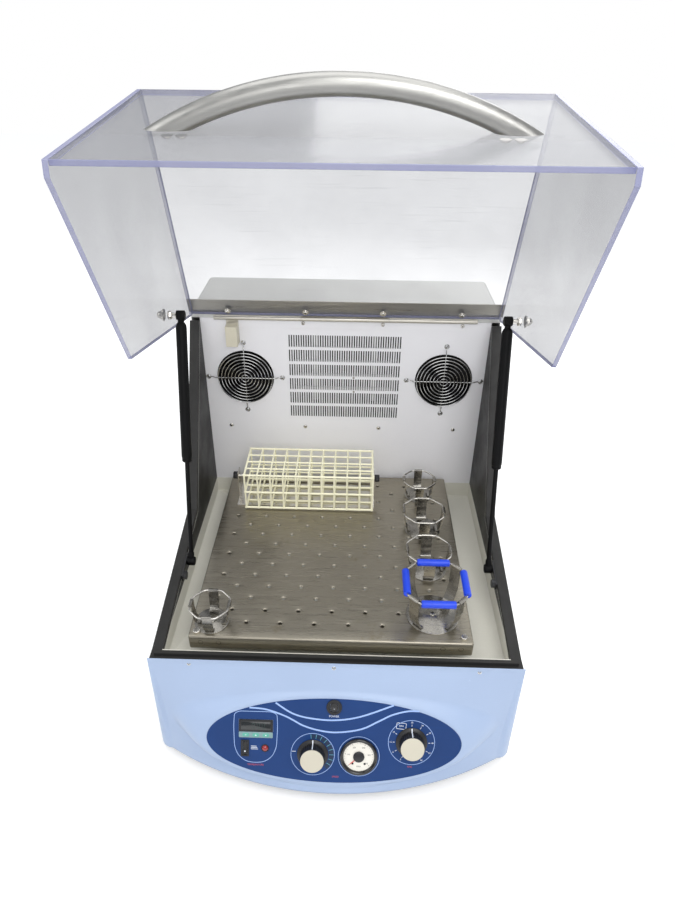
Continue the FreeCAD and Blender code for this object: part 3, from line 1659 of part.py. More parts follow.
def main():
    os.makedirs("parts", exist_ok=True)
    main_place, left_place, right_place = crank_places()
    save("chassis_base", chassis_base())
    save("feet", feet())
    right = casing_right()
    save("casing_right", right)
    save("casing_left", mirrored(right))
    save("chamber_tub", chamber_tub())
    save("side_liners", group(both_sides(side_liner())))
    save("rear_wall", rear_wall())
    save("rear_housing", rear_housing())
    save("power_inlet", power_inlet())
    save("rim_gasket", rim_gasket())
    save("front_bezel", front_bezel())
    save("control_label", control_label())
    save("speed_knob", knob(speed_x, speed_up))
    save("time_knob", knob(time_x, time_up))
    save("speed_gauge", speed_gauge())
    save("gauge_needle", gauge_needle())
    save("display_module", control_modules())
    save("set_key_left", set_key(-1))
    save("set_key_middle", set_key(0))
    save("set_key_right", set_key(1))
    save("indicator_lamp", indicator_lamp())
    save("power_rocker", power_rocker())
    save("heater_rocker", heater_rocker())
    save("fan_frames", group([fan_frame(-fan_center_x), fan_frame(fan_center_x)]))
    save("fan_guards", group([fan_guard(-fan_center_x), fan_guard(fan_center_x)]))
    save("fan_rotor_left", fan_rotor(-fan_center_x))
    save("fan_rotor_right", fan_rotor(fan_center_x))
    save("heater_element", heater_element())
    save("hinge_leaf", hinge_leaf())
    side = opened(lid_side())
    save("lid_side_right", side)
    save("lid_side_left", mirrored(side))
    save("lid_top", opened(lid_top()))
    save("lid_front", opened(lid_front()))
    save("lid_handle", opened(lid_handle()))
    fasteners = [opened(screw) for screw in handle_screws()] + lid_stud_nuts()
    save("lid_fasteners", group(fasteners))
    save("lid_hinge_strip", opened(lid_hinge_strip()))
    rod = spring_rod()
    tube = spring_tube()
    save("spring_rod_right", rod)
    save("spring_rod_left", mirrored(rod))
    save("spring_tube_right", tube)
    save("spring_tube_left", mirrored(tube))
    save("spring_brackets", spring_brackets())
    save("drive_plate", drive_plate())
    save("drive_bearings", drive_bearings())
    save("main_crank", main_crank())
    save("idler_crank_left", crank(left_place, idler_shaft_low))
    save("idler_crank_right", crank(right_place, idler_shaft_low))
    save("drive_motor", drive_motor())
    save("motor_pulley", motor_pulley())
    save("drive_belt", drive_belt())
    save("platform", platform())
    save("platform_carriage", platform_carriage())
    save("flask_clamps", flask_clamps())
    save("clamp_springs", clamp_springs())
    save("clamp_sleeves", clamp_sleeves())
    save("tube_rack", tube_rack())
    save("rack_holder", rack_holder())
    save("rack_thumb_left", rack_thumb(-1))
    save("rack_thumb_right", rack_thumb(1))
    save("lid_switch", lid_switch())
    save("cabinet_screws", cabinet_screws())


main()
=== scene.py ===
import bpy
import bmesh
import json
from math import acos, cos, hypot, pi, radians, sin, sqrt
from mathutils import Matrix, Vector

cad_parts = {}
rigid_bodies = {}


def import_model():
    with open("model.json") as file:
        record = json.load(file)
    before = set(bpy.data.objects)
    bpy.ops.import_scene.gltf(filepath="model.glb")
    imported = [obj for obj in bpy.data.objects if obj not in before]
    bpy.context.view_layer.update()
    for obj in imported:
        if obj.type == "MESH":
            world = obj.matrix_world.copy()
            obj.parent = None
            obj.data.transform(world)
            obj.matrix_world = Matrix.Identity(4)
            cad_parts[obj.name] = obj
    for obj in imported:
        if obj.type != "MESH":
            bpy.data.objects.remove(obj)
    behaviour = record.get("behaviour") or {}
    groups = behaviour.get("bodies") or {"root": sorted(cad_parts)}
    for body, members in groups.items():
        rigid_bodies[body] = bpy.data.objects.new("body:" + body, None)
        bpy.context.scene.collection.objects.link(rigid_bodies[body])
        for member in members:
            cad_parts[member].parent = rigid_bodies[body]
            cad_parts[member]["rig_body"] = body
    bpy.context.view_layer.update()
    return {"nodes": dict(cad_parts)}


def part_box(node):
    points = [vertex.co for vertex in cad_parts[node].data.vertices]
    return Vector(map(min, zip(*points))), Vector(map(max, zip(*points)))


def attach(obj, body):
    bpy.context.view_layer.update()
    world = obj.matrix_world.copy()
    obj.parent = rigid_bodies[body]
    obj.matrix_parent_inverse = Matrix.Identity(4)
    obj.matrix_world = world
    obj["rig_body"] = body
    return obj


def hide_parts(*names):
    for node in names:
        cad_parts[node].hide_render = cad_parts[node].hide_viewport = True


# Incubated benchtop shaker. Helpers take millimetres in the CAD's frame; meshes are in metres.
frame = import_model()
NODES = frame["nodes"]
MM = 0.001
TAU = 2 * pi
HERE = Matrix()


def vec(x, y, z):
    return Vector((x, y, z))


X_AXIS, Y_AXIS, Z_AXIS = vec(1, 0, 0), vec(0, 1, 0), vec(0, 0, 1)


# ---------------- materials
def linear(color):
    """Linear RGBA of a colour in 8-bit sRGB values."""
    shares = [v / 255 for v in color]
    return (*[v / 12.92 if v <= 0.04045 else ((v + 0.055) / 1.055) ** 2.4 for v in shares], 1.0)


def shade(color, factor):
    return (*[min(1.0, c * factor) for c in color[:3]], 1.0)


class Tree:
    """A node tree whose sockets take an output or a constant alike."""

    def __init__(self, tree):
        self.tree = tree

    def plug(self, node, inputs):
        for key, value in inputs.items():
            if isinstance(value, bpy.types.NodeSocket):
                self.tree.links.new(value, node.inputs[key])
            else:
                node.inputs[key].default_value = value

    def add(self, kind, inputs=None, **props):
        made = self.tree.nodes.new(kind)
        for key, value in props.items():
            setattr(made, key, value)
        self.plug(made, inputs or {})
        return made

    def combine(self, kind, a, b):
        return self.add("ShaderNodeMath", {0: a, 1: b}, operation=kind).outputs[0]


class Finish(Tree):
    """A node material around one Principled shader."""

    def __init__(self, name):
        self.mat = bpy.data.materials.new(name)
        self.mat.use_nodes = True
        super().__init__(self.mat.node_tree)
        self.shader = self.tree.nodes["Principled BSDF"]
        self.coords = self.add("ShaderNodeTexCoord").outputs["Object"]

    def finish(self, inputs):
        """Fill the shader's sockets and hand the material over."""
        self.plug(self.shader, inputs)
        return self.mat

    def noise(self, scale, detail, rough, stretch=(1, 1, 1), turn=0.0):
        place = self.add("ShaderNodeMapping", {"Vector": self.coords, "Scale": stretch,
                                               "Rotation": (0, 0, turn)})
        return self.add("ShaderNodeTexNoise", {"Vector": place.outputs["Vector"], "Scale": scale,
                                               "Detail": detail, "Roughness": rough}).outputs["Fac"]

    def span(self, value, low, high, start=0.35, end=0.65):
        """Map start to end onto low to high, and hold the ends."""
        return self.add("ShaderNodeMapRange", {
            "Value": value, "From Min": start, "From Max": end, "To Min": low,
            "To Max": high}).outputs["Result"]

    def blend(self, fac, a, b):
        mix = self.add("ShaderNodeMix", {"Factor": fac, "A": a, "B": b}, data_type="RGBA")
        return mix.outputs["Result"]

    def bumped(self, height, strength, depth, under=None):
        bump = self.add("ShaderNodeBump", {"Strength": strength, "Distance": depth,
                                           "Height": height})
        if under is not None:
            self.plug(bump, {"Normal": under})
        return bump.outputs["Normal"]

    def scratches(self, scale, turns, cut):
        """Thin streaks in a few directions, 0 to 1."""
        draw, edge = 42, 0.05
        total = None
        for turn in turns:
            streak = self.noise(scale, 2.0, 0.6, (1, draw, draw), turn)
            thin = self.span(streak, 0, 1, cut, cut + edge)
            total = thin if total is None else self.combine("MAXIMUM", total, thin)
        return total


def surface(name, color, rough, metallic=0.0, spread=0.06, patch=6.0, grain=900.0, bump=0.12,
            depth=0.0002, stretch=(1, 1, 1), rough_spread=0.07, marks=None, scratch=0.0,
            coat=0.0, specular=0.5):
    """Patches, grain and scratches on one colour, with marks of (colour, cut, scale)."""
    mark_edge, mark_rough = 0.07, 0.12
    scratch_rough, scratch_bump, scratch_depth = 0.1, 0.12, 0.0001
    f = Finish(name)
    color = linear(color)
    fac = f.span(f.noise(patch, 4.0, 0.55), 0, 1)
    base = f.blend(fac, shade(color, 1 - spread), shade(color, 1 + spread))
    fine = f.noise(grain, 3.0, 0.55, stretch)
    base = f.blend(f.span(fine, 0, 0.5), base, shade(color, 1 - spread * 0.8))
    uneven = f.noise(patch * 3, 5.0, 0.6, stretch)
    rough_value = f.span(uneven, rough - rough_spread, rough + rough_spread)
    if marks:
        mark_color, cut, scale = marks
        spots = f.span(f.noise(scale, 8.0, 0.72), 0, 1, cut, cut + mark_edge)
        base = f.blend(spots, base, linear(mark_color))
        rough_value = f.combine("ADD", rough_value, f.combine("MULTIPLY", spots, mark_rough))
    normal = f.bumped(fine, bump, depth)
    if scratch:
        lines = f.scratches(9.0, (0.4, 1.3, 2.5), 0.66)
        base = f.blend(f.combine("MULTIPLY", lines, scratch), base, shade(color, 1.35))
        rough_value = f.combine("ADD", rough_value, f.combine("MULTIPLY", lines, scratch_rough))
        normal = f.bumped(lines, scratch_bump, scratch_depth, normal)
    return f.finish({"Base Color": base, "Roughness": rough_value, "Normal": normal,
                     "Metallic": metallic, "Coat Weight": coat, "Coat Roughness": 0.12,
                     "Specular IOR Level": specular})


def brushed(name, color, rough, draw, spread, bump, metallic=1.0, marks=None):
    """Rolled steel, its grain drawn out along one axis."""
    return surface(name, color, rough, metallic, spread, patch=4.5, grain=60.0, bump=bump,
                   depth=0.00012, stretch=(1, draw, draw), rough_spread=0.1, marks=marks,
                   scratch=0.3)


def ink(name, color, spread=0.08, rough=0.42):
    return surface("label_" + name, color, rough, spread=spread, grain=1200, bump=0.04)


def clear_sheet(name, color, haze):
    """Clear acrylic: see-through, hazier and shinier at a glancing angle."""
    edge_gain, streaks, rough = 0.3, 0.05, 0.14
    f = Finish(name)
    color = linear(color)
    glance = f.add("ShaderNodeLayerWeight", {"Blend": 0.28}).outputs["Fresnel"]
    cloud = f.span(f.noise(7.0, 5.0, 0.6), haze * 0.9, haze * 1.12)
    lines = f.combine("MULTIPLY", f.scratches(5.0, (0.2, 1.1, 2.2, 2.9), 0.69), streaks)
    alpha = f.combine("ADD", f.combine("MULTIPLY", glance, edge_gain), cloud)
    fac = f.span(f.noise(3.0, 3.0, 0.5), 0, 1)
    f.mat.surface_render_method = "BLENDED"
    return f.finish({"Alpha": f.combine("ADD", alpha, lines),
                     "Base Color": f.blend(fac, shade(color, 0.96), shade(color, 1.04)),
                     "Roughness": f.span(f.noise(40.0, 4.0, 0.6), rough, rough + 0.08),
                     "IOR": 1.49, "Specular IOR Level": 0.3})


MOULD = surface("moulded_blue", (166, 184, 212), 0.36, spread=0.035, patch=4.0, grain=700,
                bump=0.1, marks=((194, 210, 234), 0.69, 60), scratch=0.05)
NAVY = surface("label_navy", (22, 58, 114), 0.42, spread=0.09, patch=9.0, grain=1500, bump=0.05,
               marks=((84, 124, 176), 0.69, 60), scratch=0.16, specular=0.3)
LINE = ink("line", (160, 188, 236), 0.05, 0.4)
WHITE_INK = ink("white", (226, 232, 240), 0.05)
RED_INK = ink("red", (186, 74, 78))
TEAL_INK = ink("teal", (96, 158, 170))
SCALE_INK = ink("scale", (20, 44, 74))
BLACK = surface("black_plastic", (27, 27, 29), 0.4, spread=0.2, grain=1400, scratch=0.1)
GLOSS_BLACK = surface("gloss_black", (17, 17, 18), 0.2, spread=0.2, patch=12, grain=400,
                      bump=0.05, marks=((58, 57, 54), 0.7, 40), coat=0.4)
IVORY = surface("ivory_cap", (204, 198, 180), 0.42, spread=0.04, grain=1500, bump=0.08,
                marks=((190, 180, 158), 0.68, 90))
DIAL = surface("dial_white", (236, 232, 221), 0.5, spread=0.03, grain=1500, bump=0.03)
NEEDLE = surface("needle_red", (200, 44, 40), 0.4, spread=0.08, grain=1500, bump=0.05)
WINDOW = surface("display_window", (17, 24, 27), 0.16, spread=0.2, grain=500, bump=0.02,
                 coat=0.6)
DIGIT = surface("display_digit", (40, 62, 58), 0.3, spread=0.1, bump=0.02)
KEY_STRIP = surface("key_strip", (128, 158, 160), 0.45, spread=0.05, grain=1000, bump=0.06)
KEY = surface("key_green", (96, 178, 158), 0.4, spread=0.08, grain=1000, bump=0.06)
LAMP = surface("lamp_red", (150, 16, 26), 0.14, spread=0.1, grain=500, bump=0.02, coat=0.8)
CABINET = surface("cabinet_paint", (206, 206, 202), 0.42, spread=0.03, patch=3.0, grain=520,
                  bump=0.22, depth=0.0003, marks=((188, 186, 176), 0.7, 18), scratch=0.06)
WALL = surface("wall_paint", (238, 237, 239), 0.4, spread=0.035, patch=3.0, grain=480,
               bump=0.16, marks=((178, 174, 168), 0.68, 12))
TUB = surface("tub_paint", (220, 218, 206), 0.36, spread=0.05, patch=5.0, grain=480, bump=0.14,
              marks=((170, 160, 138), 0.66, 16), scratch=0.12)
LINER = surface("liner_dark", (19, 19, 18), 0.45, spread=0.1, patch=5.0, grain=700, bump=0.2,
                marks=((96, 95, 90), 0.69, 20), scratch=0.2, specular=0.35)
RUBBER = surface("gasket_rubber", (30, 29, 27), 0.62, spread=0.16, patch=12, grain=1100,
                 bump=0.3, marks=((86, 82, 72), 0.67, 30))
PLATFORM = brushed("brushed_platform", (158, 152, 138), 0.33, 60, 0.045, 0.1, 0.96,
                   ((140, 132, 114), 0.62, 14.0))
STEEL = brushed("brushed_strip", (196, 192, 182), 0.36, 46, 0.06, 0.12)
CLAMP_STEEL = surface("clamp_steel", (150, 147, 140), 0.24, metallic=1.0, spread=0.1, patch=24,
                      grain=500, bump=0.08, rough_spread=0.06, scratch=0.12)
SPRING_BLACK = surface("spring_black", (6, 6, 7), 0.5, spread=0.15, patch=12, grain=700,
                       bump=0.06, scratch=0.04, specular=0.14)
# Near-black finish of the inner baffle behind the rear vents: painted shade of the housing's
# inside.
BAFFLE_SHADE = surface("baffle_painted_shade", (44, 41, 36), 0.6, spread=0.12, patch=8, grain=500, bump=0.15)
BRIGHT = surface("bright_steel", (206, 203, 196), 0.18, metallic=1.0, spread=0.08, patch=30,
                 grain=500, bump=0.08, rough_spread=0.06, scratch=0.15)
CHROME = surface("guard_wire", (184, 184, 183), 0.16, metallic=1.0, patch=40, bump=0.05)
ALUMINIUM = surface("satin_aluminium", (168, 167, 163), 0.36, metallic=1.0, spread=0.07,
                    patch=9, grain=240, bump=0.22, stretch=(1, 8, 8),
                    marks=((150, 148, 142), 0.67, 26), scratch=0.3)
ZINC = surface("zinc_plate", (170, 170, 166), 0.42, metallic=0.9, spread=0.12, patch=16,
               grain=300, bump=0.15)
RACK = surface("coated_rack", (250, 246, 216), 0.44, spread=0.05, patch=12, grain=700,
               marks=((196, 184, 132), 0.68, 40))
SLEEVE = surface("blue_sleeve", (18, 66, 214), 0.36, spread=0.08, patch=20, grain=800,
                 marks=((70, 110, 226), 0.7, 60))
NYLON = surface("switch_nylon", (206, 200, 180), 0.4, spread=0.05, patch=30, bump=0.1)
BELT = surface("belt_rubber", (24, 24, 24), 0.7, spread=0.15, bump=0.3)
ACRYLIC = clear_sheet("clear_acrylic", (150, 151, 155), 0.19)
ACRYLIC_EDGE = clear_sheet("acrylic_edge", (136, 139, 176), 0.7)
# Bright screw heads; the black second slot darkens the cross recesses as painted shade.
SCREW_HEAD_AND_SHADE = [BRIGHT, BLACK]


# ---------------- points
def polar(radius, angle, center=(0.0, 0.0)):
    """The (x, y) point at an angle in radians."""
    return center[0] + radius * cos(angle), center[1] + radius * sin(angle)


def angles(count):
    """Angles in radians that divide a full turn."""
    return [TAU * i / count for i in range(count)]


def quarter(steps, share=1.0):
    """Angles in radians from 0 to a share of a right angle."""
    return [pi / 2 * step / steps * share for step in range(steps + 1)]


def circle(radius, center=(0.0, 0.0), sides=72):
    return [polar(radius, angle, center) for angle in angles(sides)]


def sector(center, inner, outer, first, last):
    """Outline of a ring sector between two angles in degrees."""
    steps = 4
    out = []
    for radius, order in ((outer, range(steps + 1)), (inner, range(steps, -1, -1))):
        for step in order:
            out.append(polar(radius, radians(first + (last - first) * step / steps), center))
    return out


CORNER = 5  # points on each corner of a rounded rectangle


def round_rect(half_x, half_y, radius, grow=0.0):
    """Outline of a rounded rectangle whose corner arcs are grown outward."""
    out = []
    for sx, sy, start in ((1, 1, 0), (-1, 1, 90), (-1, -1, 180), (1, -1, 270)):
        center = (sx * (half_x - radius), sy * (half_y - radius))
        for step in range(CORNER):
            angle = radians(start + 90 * step / (CORNER - 1))
            out.append(polar(radius + grow, angle, center))
    return out


def smooth_curve(points, steps=8):
    """A Catmull-Rom curve through (x, y) points."""
    pts = [points[0]] + list(points) + [points[-1]]
    out = []
    for a, b, c, d in zip(pts[:-3], pts[1:-2], pts[2:-1], pts[3:]):
        for step in range(steps):
            t = step / steps
            out.append(tuple(0.5 * (2 * b[k] + (c[k] - a[k]) * t
                                    + (2 * a[k] - 5 * b[k] + 4 * c[k] - d[k]) * t * t
                                    + (3 * b[k] - a[k] - 3 * c[k] + d[k]) * t ** 3)
                             for k in range(2)))
    out.append(tuple(points[-1]))
    return out


def rounded_chain(corners, radius, steps=5, closed=False):
    """Points along a chain whose corners are rounded, by less than half of each leg."""
    leg_share = 0.45
    corners = [Vector(c) for c in corners]
    count = len(corners)
    out = []
    for i, corner in enumerate(corners):
        if not closed and i in (0, count - 1):
            out.append(corner)
            continue
        a = corners[i - 1] - corner
        b = corners[(i + 1) % count] - corner
        reach = min(radius, a.length * leg_share, b.length * leg_share)
        start = corner + a.normalized() * reach
        end = corner + b.normalized() * reach
        for step in range(steps + 1):
            t = step / steps
            out.append(start * (1 - t) ** 2 + corner * 2 * t * (1 - t) + end * t * t)
    return out


def rounded_2d(points, radius):
    return [(p.x, p.y) for p in rounded_chain([(x, y, 0) for x, y in points], radius, 4, True)]


def frame_at(origin, normal, upward=Z_AXIS):
    """A matrix whose Z follows normal and whose origin lies at origin."""
    z = Vector(normal).normalized()
    guide = Y_AXIS if abs(z.dot(upward)) > 0.95 else upward
    x = guide.cross(z).normalized()
    turn = Matrix((x, z.cross(x), z)).transposed().to_4x4()
    return Matrix.Translation(origin) @ turn


def shift(x, y, z=0.0):
    return Matrix.Translation((x, y, z))


# ---------------- meshes
def dress(name, bm, body, materials, smooth, bevel, segments, replaces, wall=0.0):
    """Turn bm, in metres, into a piece that rides on a body."""
    mesh = bpy.data.meshes.new(name)
    bm.to_mesh(mesh)
    bm.free()
    for material in (materials if isinstance(materials, list) else [materials]):
        mesh.materials.append(material)
    made = bpy.data.objects.new(name, mesh)
    bpy.context.scene.collection.objects.link(made)
    mesh.shade_smooth()
    mesh.set_sharp_from_angle(angle=radians(smooth))
    if wall:
        shell = made.modifiers.new("wall", "SOLIDIFY")
        shell.thickness = wall * MM
        shell.offset = -1
    if bevel:
        edge = made.modifiers.new("edge", "BEVEL")
        edge.width = bevel * MM
        edge.segments = segments
        edge.limit_method = "ANGLE"
        edge.angle_limit = radians(32)
        edge.use_clamp_overlap = True
    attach(made, body)
    if replaces:
        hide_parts(replaces)
    return made


def piece(name, bm, body, materials, place=HERE, smooth=38, bevel=0.0, replaces=None, wall=0.0):
    """Turn bm, in millimetres, into a piece that rides on a body."""
    bmesh.ops.transform(bm, matrix=place, verts=bm.verts)
    bmesh.ops.scale(bm, vec=(MM, MM, MM), verts=bm.verts)
    bmesh.ops.recalc_face_normals(bm, faces=bm.faces)
    return dress(name, bm, body, materials, smooth, bevel, 2, replaces, wall)


def joined(node):
    """A copy of a CAD solid's mesh with its flat faces joined."""
    bm = bmesh.new()
    bm.from_mesh(NODES[node].data)
    bmesh.ops.remove_doubles(bm, verts=bm.verts, dist=2e-6)
    bmesh.ops.dissolve_limit(bm, angle_limit=radians(0.5), verts=bm.verts, edges=bm.edges)
    return bm


def refined(node, name, materials, bevel=0.4, segments=2, smooth=35, choose=None, bm=None):
    """A CAD solid in its place with its edges broken, its slots chosen face by face."""
    bm = joined(node) if bm is None else bm
    for face in bm.faces:
        face.material_index = choose(face) if choose else 0
    return dress(name, bm, NODES[node]["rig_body"], materials, smooth, bevel, segments, node)


def paint(node, material):
    """Give a CAD solid that stays a material."""
    slots = NODES[node].data.materials
    for index in range(len(slots)):
        slots[index] = material
    if not slots:
        slots.append(material)


def join(bm, low, high, closed=True, index=0):
    """Quads between two rows of vertices."""
    count = len(low)
    for i in range(count if closed else count - 1):
        j = (i + 1) % count
        bm.faces.new((low[i], low[j], high[j], high[i])).material_index = index


def rings(bm, loops, closed=True, cap_start=True, cap_end=True, index=0):
    """Skin a list of vertex loops, each a list of points."""
    made = [[bm.verts.new(p) for p in loop] for loop in loops]
    for low, high in zip(made[:-1], made[1:]):
        join(bm, low, high, closed, index)
    for wanted, loop in ((cap_start, made[0][::-1]), (cap_end, made[-1])):
        if wanted:
            bm.faces.new(loop).material_index = index
    return made


def lathe(bm, profile, sides=48, place=HERE, index=0, cap_start=True, cap_end=True, flutes=0,
          flute=0.0):
    """Turn a profile of (radius, height) points round Z, with flutes cut into it."""
    loops = []
    for radius, height in profile:
        loop = []
        for angle in angles(sides):
            r = radius
            if flutes and radius > flute * 4:
                r -= flute * (0.5 + 0.5 * cos(angle * flutes))
            loop.append(place @ Vector((*polar(r, angle), height)))
        loops.append(loop)
    return rings(bm, loops, True, cap_start, cap_end, index)


def tube(bm, points, radius, sides=10, closed=False):
    """A round bar along a chain of points, with a steady twist."""
    points = [Vector(p) for p in points]
    count = len(points)
    loops = []
    side = None
    for i, point in enumerate(points):
        legs = []
        if closed or i > 0:
            legs.append((point - points[i - 1]).normalized())
        if closed or i < count - 1:
            legs.append((points[(i + 1) % count] - point).normalized())
        tangent = (legs[0] + legs[-1]).normalized()
        if side is None:
            side = tangent.cross(Z_AXIS if abs(tangent.z) < 0.9 else X_AXIS).normalized()
        side = (side - tangent * side.dot(tangent)).normalized()
        other = tangent.cross(side)
        loops.append([point + (side * cos(angle) + other * sin(angle)) * radius
                      for angle in angles(sides)])
    made = rings(bm, loops, True, not closed, not closed)
    if closed:
        join(bm, made[-1], made[0])


def block(bm, low, high, place=HERE, index=0):
    corners = [bm.verts.new(place @ vec(x, y, z)) for x in (low[0], high[0])
               for y in (low[1], high[1]) for z in (low[2], high[2])]
    for quad in ((0, 1, 3, 2), (4, 6, 7, 5), (0, 4, 5, 1), (2, 3, 7, 6), (0, 2, 6, 4),
                 (1, 5, 7, 3)):
        bm.faces.new([corners[i] for i in quad]).material_index = index


def slab(bm, outline, z0, z1, place=HERE, index=0):
    """An upright prism over an outline of (x, y) points."""
    rings(bm, [[place @ vec(x, y, z) for x, y in outline] for z in (z0, z1)], index=index)


def rounded_plate(bm, w, h, r, z0, z1, place, index=0, edge=0.3):
    """A rounded rectangle with softened upper edges."""
    soft = edge * 0.35
    rings(bm, [[place @ vec(x, y, z) for x, y in round_rect(w / 2, h / 2, r, grow)]
               for grow, z in ((0, z0), (0, z1 - edge), (-soft, z1 - soft), (-edge, z1))],
          index=index)


def screw(bm, at, normal, radius=4.0, height=2.2, washer=0.0):
    """A pan head with a cross recess: slot 0 is the head and slot 1 the recess, which callers give
    a dark finish as painted shade.
    """
    place = frame_at(at, normal)
    sides = 24
    base = 0.0
    if washer:
        lathe(bm, [(washer, 0), (washer, 0.5), (washer - 0.3, 0.8), (radius * 0.9, 0.8)], sides,
              place)
        base = 0.6
    dome = 0.8
    profile = [(radius, base)]
    for angle in quarter(5, dome):
        rise = sin(angle) / sin(pi / 2 * dome)
        profile.append((radius * (0.42 + 0.58 * cos(angle)),
                        base + height * (0.3 + 0.7 * rise)))
    ring = lathe(bm, profile, sides, place, cap_end=False)[-1]
    top = base + height
    arm, thin = radius * 0.5, radius * 0.14
    cross = [(arm, -thin), (arm, thin), (thin, thin), (thin, arm), (-thin, arm), (-thin, thin),
             (-arm, thin), (-arm, -thin), (-thin, -thin), (-thin, -arm), (thin, -arm),
             (thin, -thin)]
    upper, lower = [[bm.verts.new(place @ vec(x * share, y * share, z)) for x, y in cross]
                    for share, z in ((1.0, top), (0.8, top - height * 0.6))]
    count = len(cross)
    outer_edges = [bm.edges.get((ring[i], ring[(i + 1) % sides])) for i in range(sides)]
    inner_edges = [bm.edges.new((upper[i], upper[(i + 1) % count])) for i in range(count)]
    bmesh.ops.bridge_loops(bm, edges=outer_edges + inner_edges)
    # The recess walls and floor take slot 1, dark as painted shade.
    join(bm, upper, lower, index=1)
    bm.faces.new(lower).material_index = 1


def ribbon(bm, points, width, z0, z1, place, index=0, closed=False):
    """A thin flat line of even width along (x, y) points."""
    pts = [vec(x, y, 0) for x, y in points]
    count = len(pts)
    left, right = [], []
    for i, point in enumerate(pts):
        before = pts[(i - 1) % count] if closed or i > 0 else point
        after = pts[(i + 1) % count] if closed or i < count - 1 else point
        along = (after - before).normalized()
        side = vec(-along.y, along.x, 0) * width / 2
        left.append(point + side)
        right.append(point - side)
    rows = [[bm.verts.new(place @ (p + vec(0, 0, z))) for p in row]
            for row, z in ((right, z0), (right, z1), (left, z1), (left, z0))]
    for row, following in zip(rows, rows[1:] + rows[:1]):
        join(bm, row, following, closed, index)
    if not closed:
        bm.faces.new([row[0] for row in rows]).material_index = index
        bm.faces.new([row[-1] for row in rows][::-1]).material_index = index


def tick(bm, center, inner, outer, angle, width, z0, z1, place, index=0):
    """A radial line on a scale."""
    ribbon(bm, [polar(inner, angle, center), polar(outer, angle, center)], width, z0, z1, place,
           index)


def words(bm, text, size, spot, z, place, index=0, turn=0.0):
    """Lettering as thin raised faces, centred on spot."""
    thick = 0.06
    curve = bpy.data.curves.new("lettering", "FONT")
    curve.body = text
    curve.size = size
    curve.align_x = "CENTER"
    curve.align_y = "CENTER"
    curve.extrude = thick / 2
    curve.resolution_u = 3
    holder = bpy.data.objects.new("lettering", curve)
    bpy.context.scene.collection.objects.link(holder)
    bpy.context.view_layer.update()
    mesh = bpy.data.meshes.new_from_object(holder)
    bpy.data.objects.remove(holder)
    bpy.data.curves.remove(curve)
    mesh.transform(place @ shift(*spot, z) @ Matrix.Rotation(turn, 4, "Z"))
    before = len(bm.faces)
    bm.from_mesh(mesh)
    bpy.data.meshes.remove(mesh)
    bm.faces.ensure_lookup_table()
    for face in bm.faces[before:]:
        face.material_index = index


# ---------------- control panel
BEZEL_TOP = vec(0, -300.5, 212.0)
BEZEL_FOOT = vec(0, -397.0, 24.0)
BEZEL_HALF = 297.0
BEZEL_LIP = 6.0
BEZEL_WALL = 3.0
BOW_RADIUS = 564.2
SLOPE = BEZEL_FOOT - BEZEL_TOP
DOWN = SLOPE.normalized()
OUT = vec(0, DOWN.z, -DOWN.y)
POD_DOWN = 121.0
POD_RISE = 3.0
POD_OVAL, FLARE_OVAL = (207.0, 73.0), (268.0, 82.0)
POD = BEZEL_TOP + OUT * POD_RISE + DOWN * POD_DOWN
PANEL = Matrix.Translation(POD) @ Matrix((X_AXIS, -DOWN, OUT)).transposed().to_4x4()
LABEL_TOP = 0.6
PRINT = (LABEL_TOP, LABEL_TOP + 0.12, PANEL)
LETTERS = (LABEL_TOP + 0.06, PANEL)
SPEED, GAUGE, TIME = (-32.7, -23.0), (40.4, -24.2), (123.0, 1.5)
DISPLAY, KEYS, RED_LAMP = (-123.5, 21.5), (-123.5, 6.3), (-108.6, -15.2)


def bezel_z(t):
    return BEZEL_TOP.z + SLOPE.z * t


def bezel_front_y(x, t):
    """The face at a share t of its height: nearly straight on top, bowed at the foot."""
    top = -302.1 + 0.5 * (x / 295.8) ** 2
    foot = BEZEL_FOOT.y + BOW_RADIUS - sqrt(BOW_RADIUS * BOW_RADIUS - x * x)
    return (1 - t) * top + t * foot


def on_bezel(x, t):
    """Surface point of the moulding's front: its bowed face, drawn out to the oval pod."""
    base = vec(x, bezel_front_y(x, t), bezel_z(t))
    up = POD_DOWN - t * SLOPE.length
    reach = hypot(x, up)
    share = 0.0
    if reach > 1e-6:
        inner, outer = [1 / hypot(x / reach / rx, up / reach / ry)
                        for rx, ry in (POD_OVAL, FLARE_OVAL)]
        share = min(1.0, max(0.0, (reach - inner) / (outer - inner)))
    weight = 1 - (0.62 * share * share * (3 - 2 * share) + 0.38 * share)
    lifted = base.lerp(POD + vec(x, 0, 0) - DOWN * up, weight)
    return base if lifted.y > base.y else lifted


def bezel():
    """The moulding, with a low lip that stands in front of the gasket."""
    columns, rows, back_y = 176, 84, -300.0
    loops = []
    for row in range(rows + 1):
        t = row / rows
        z = bezel_z(t)
        half = BEZEL_HALF - t
        radius = 1.2 + 20.8 * t
        side_y = -301.6 - 24.4 * t
        arc = [(radius * (1 - cos(angle)), side_y + radius * (1 - sin(angle)))
               for angle in quarter(6)]
        span = half - radius
        loops.append([vec(-half, back_y, z)] + [vec(x - half, y, z) for x, y in arc]
                     + [on_bezel(2 * span * column / columns - span, t)
                        for column in range(1, columns)]
                     + [vec(half - x, y, z) for x, y in arc[::-1]] + [vec(half, back_y, z)])
    loops.insert(0, [point + vec(0, 0, BEZEL_LIP) for point in loops[0]])
    bm = bmesh.new()
    top = rings(bm, loops, False, False, False)[0]
    bm.faces.new((top[0], top[-1], *reversed(top[1:-1])))
    piece("bezel_moulding", bm, "cabinet", MOULD, smooth=50, replaces="front_bezel",
          wall=BEZEL_WALL)
    bm = bmesh.new()
    t = 2.6 / SLOPE.length
    for x in (-231.0, -2.0, 226.0):
        screw(bm, vec(x, bezel_front_y(x, t) + 1.4, bezel_z(t)), OUT, radius=3.6, height=1.7)
    piece("bezel_screws", bm, "cabinet", SCREW_HEAD_AND_SHADE)


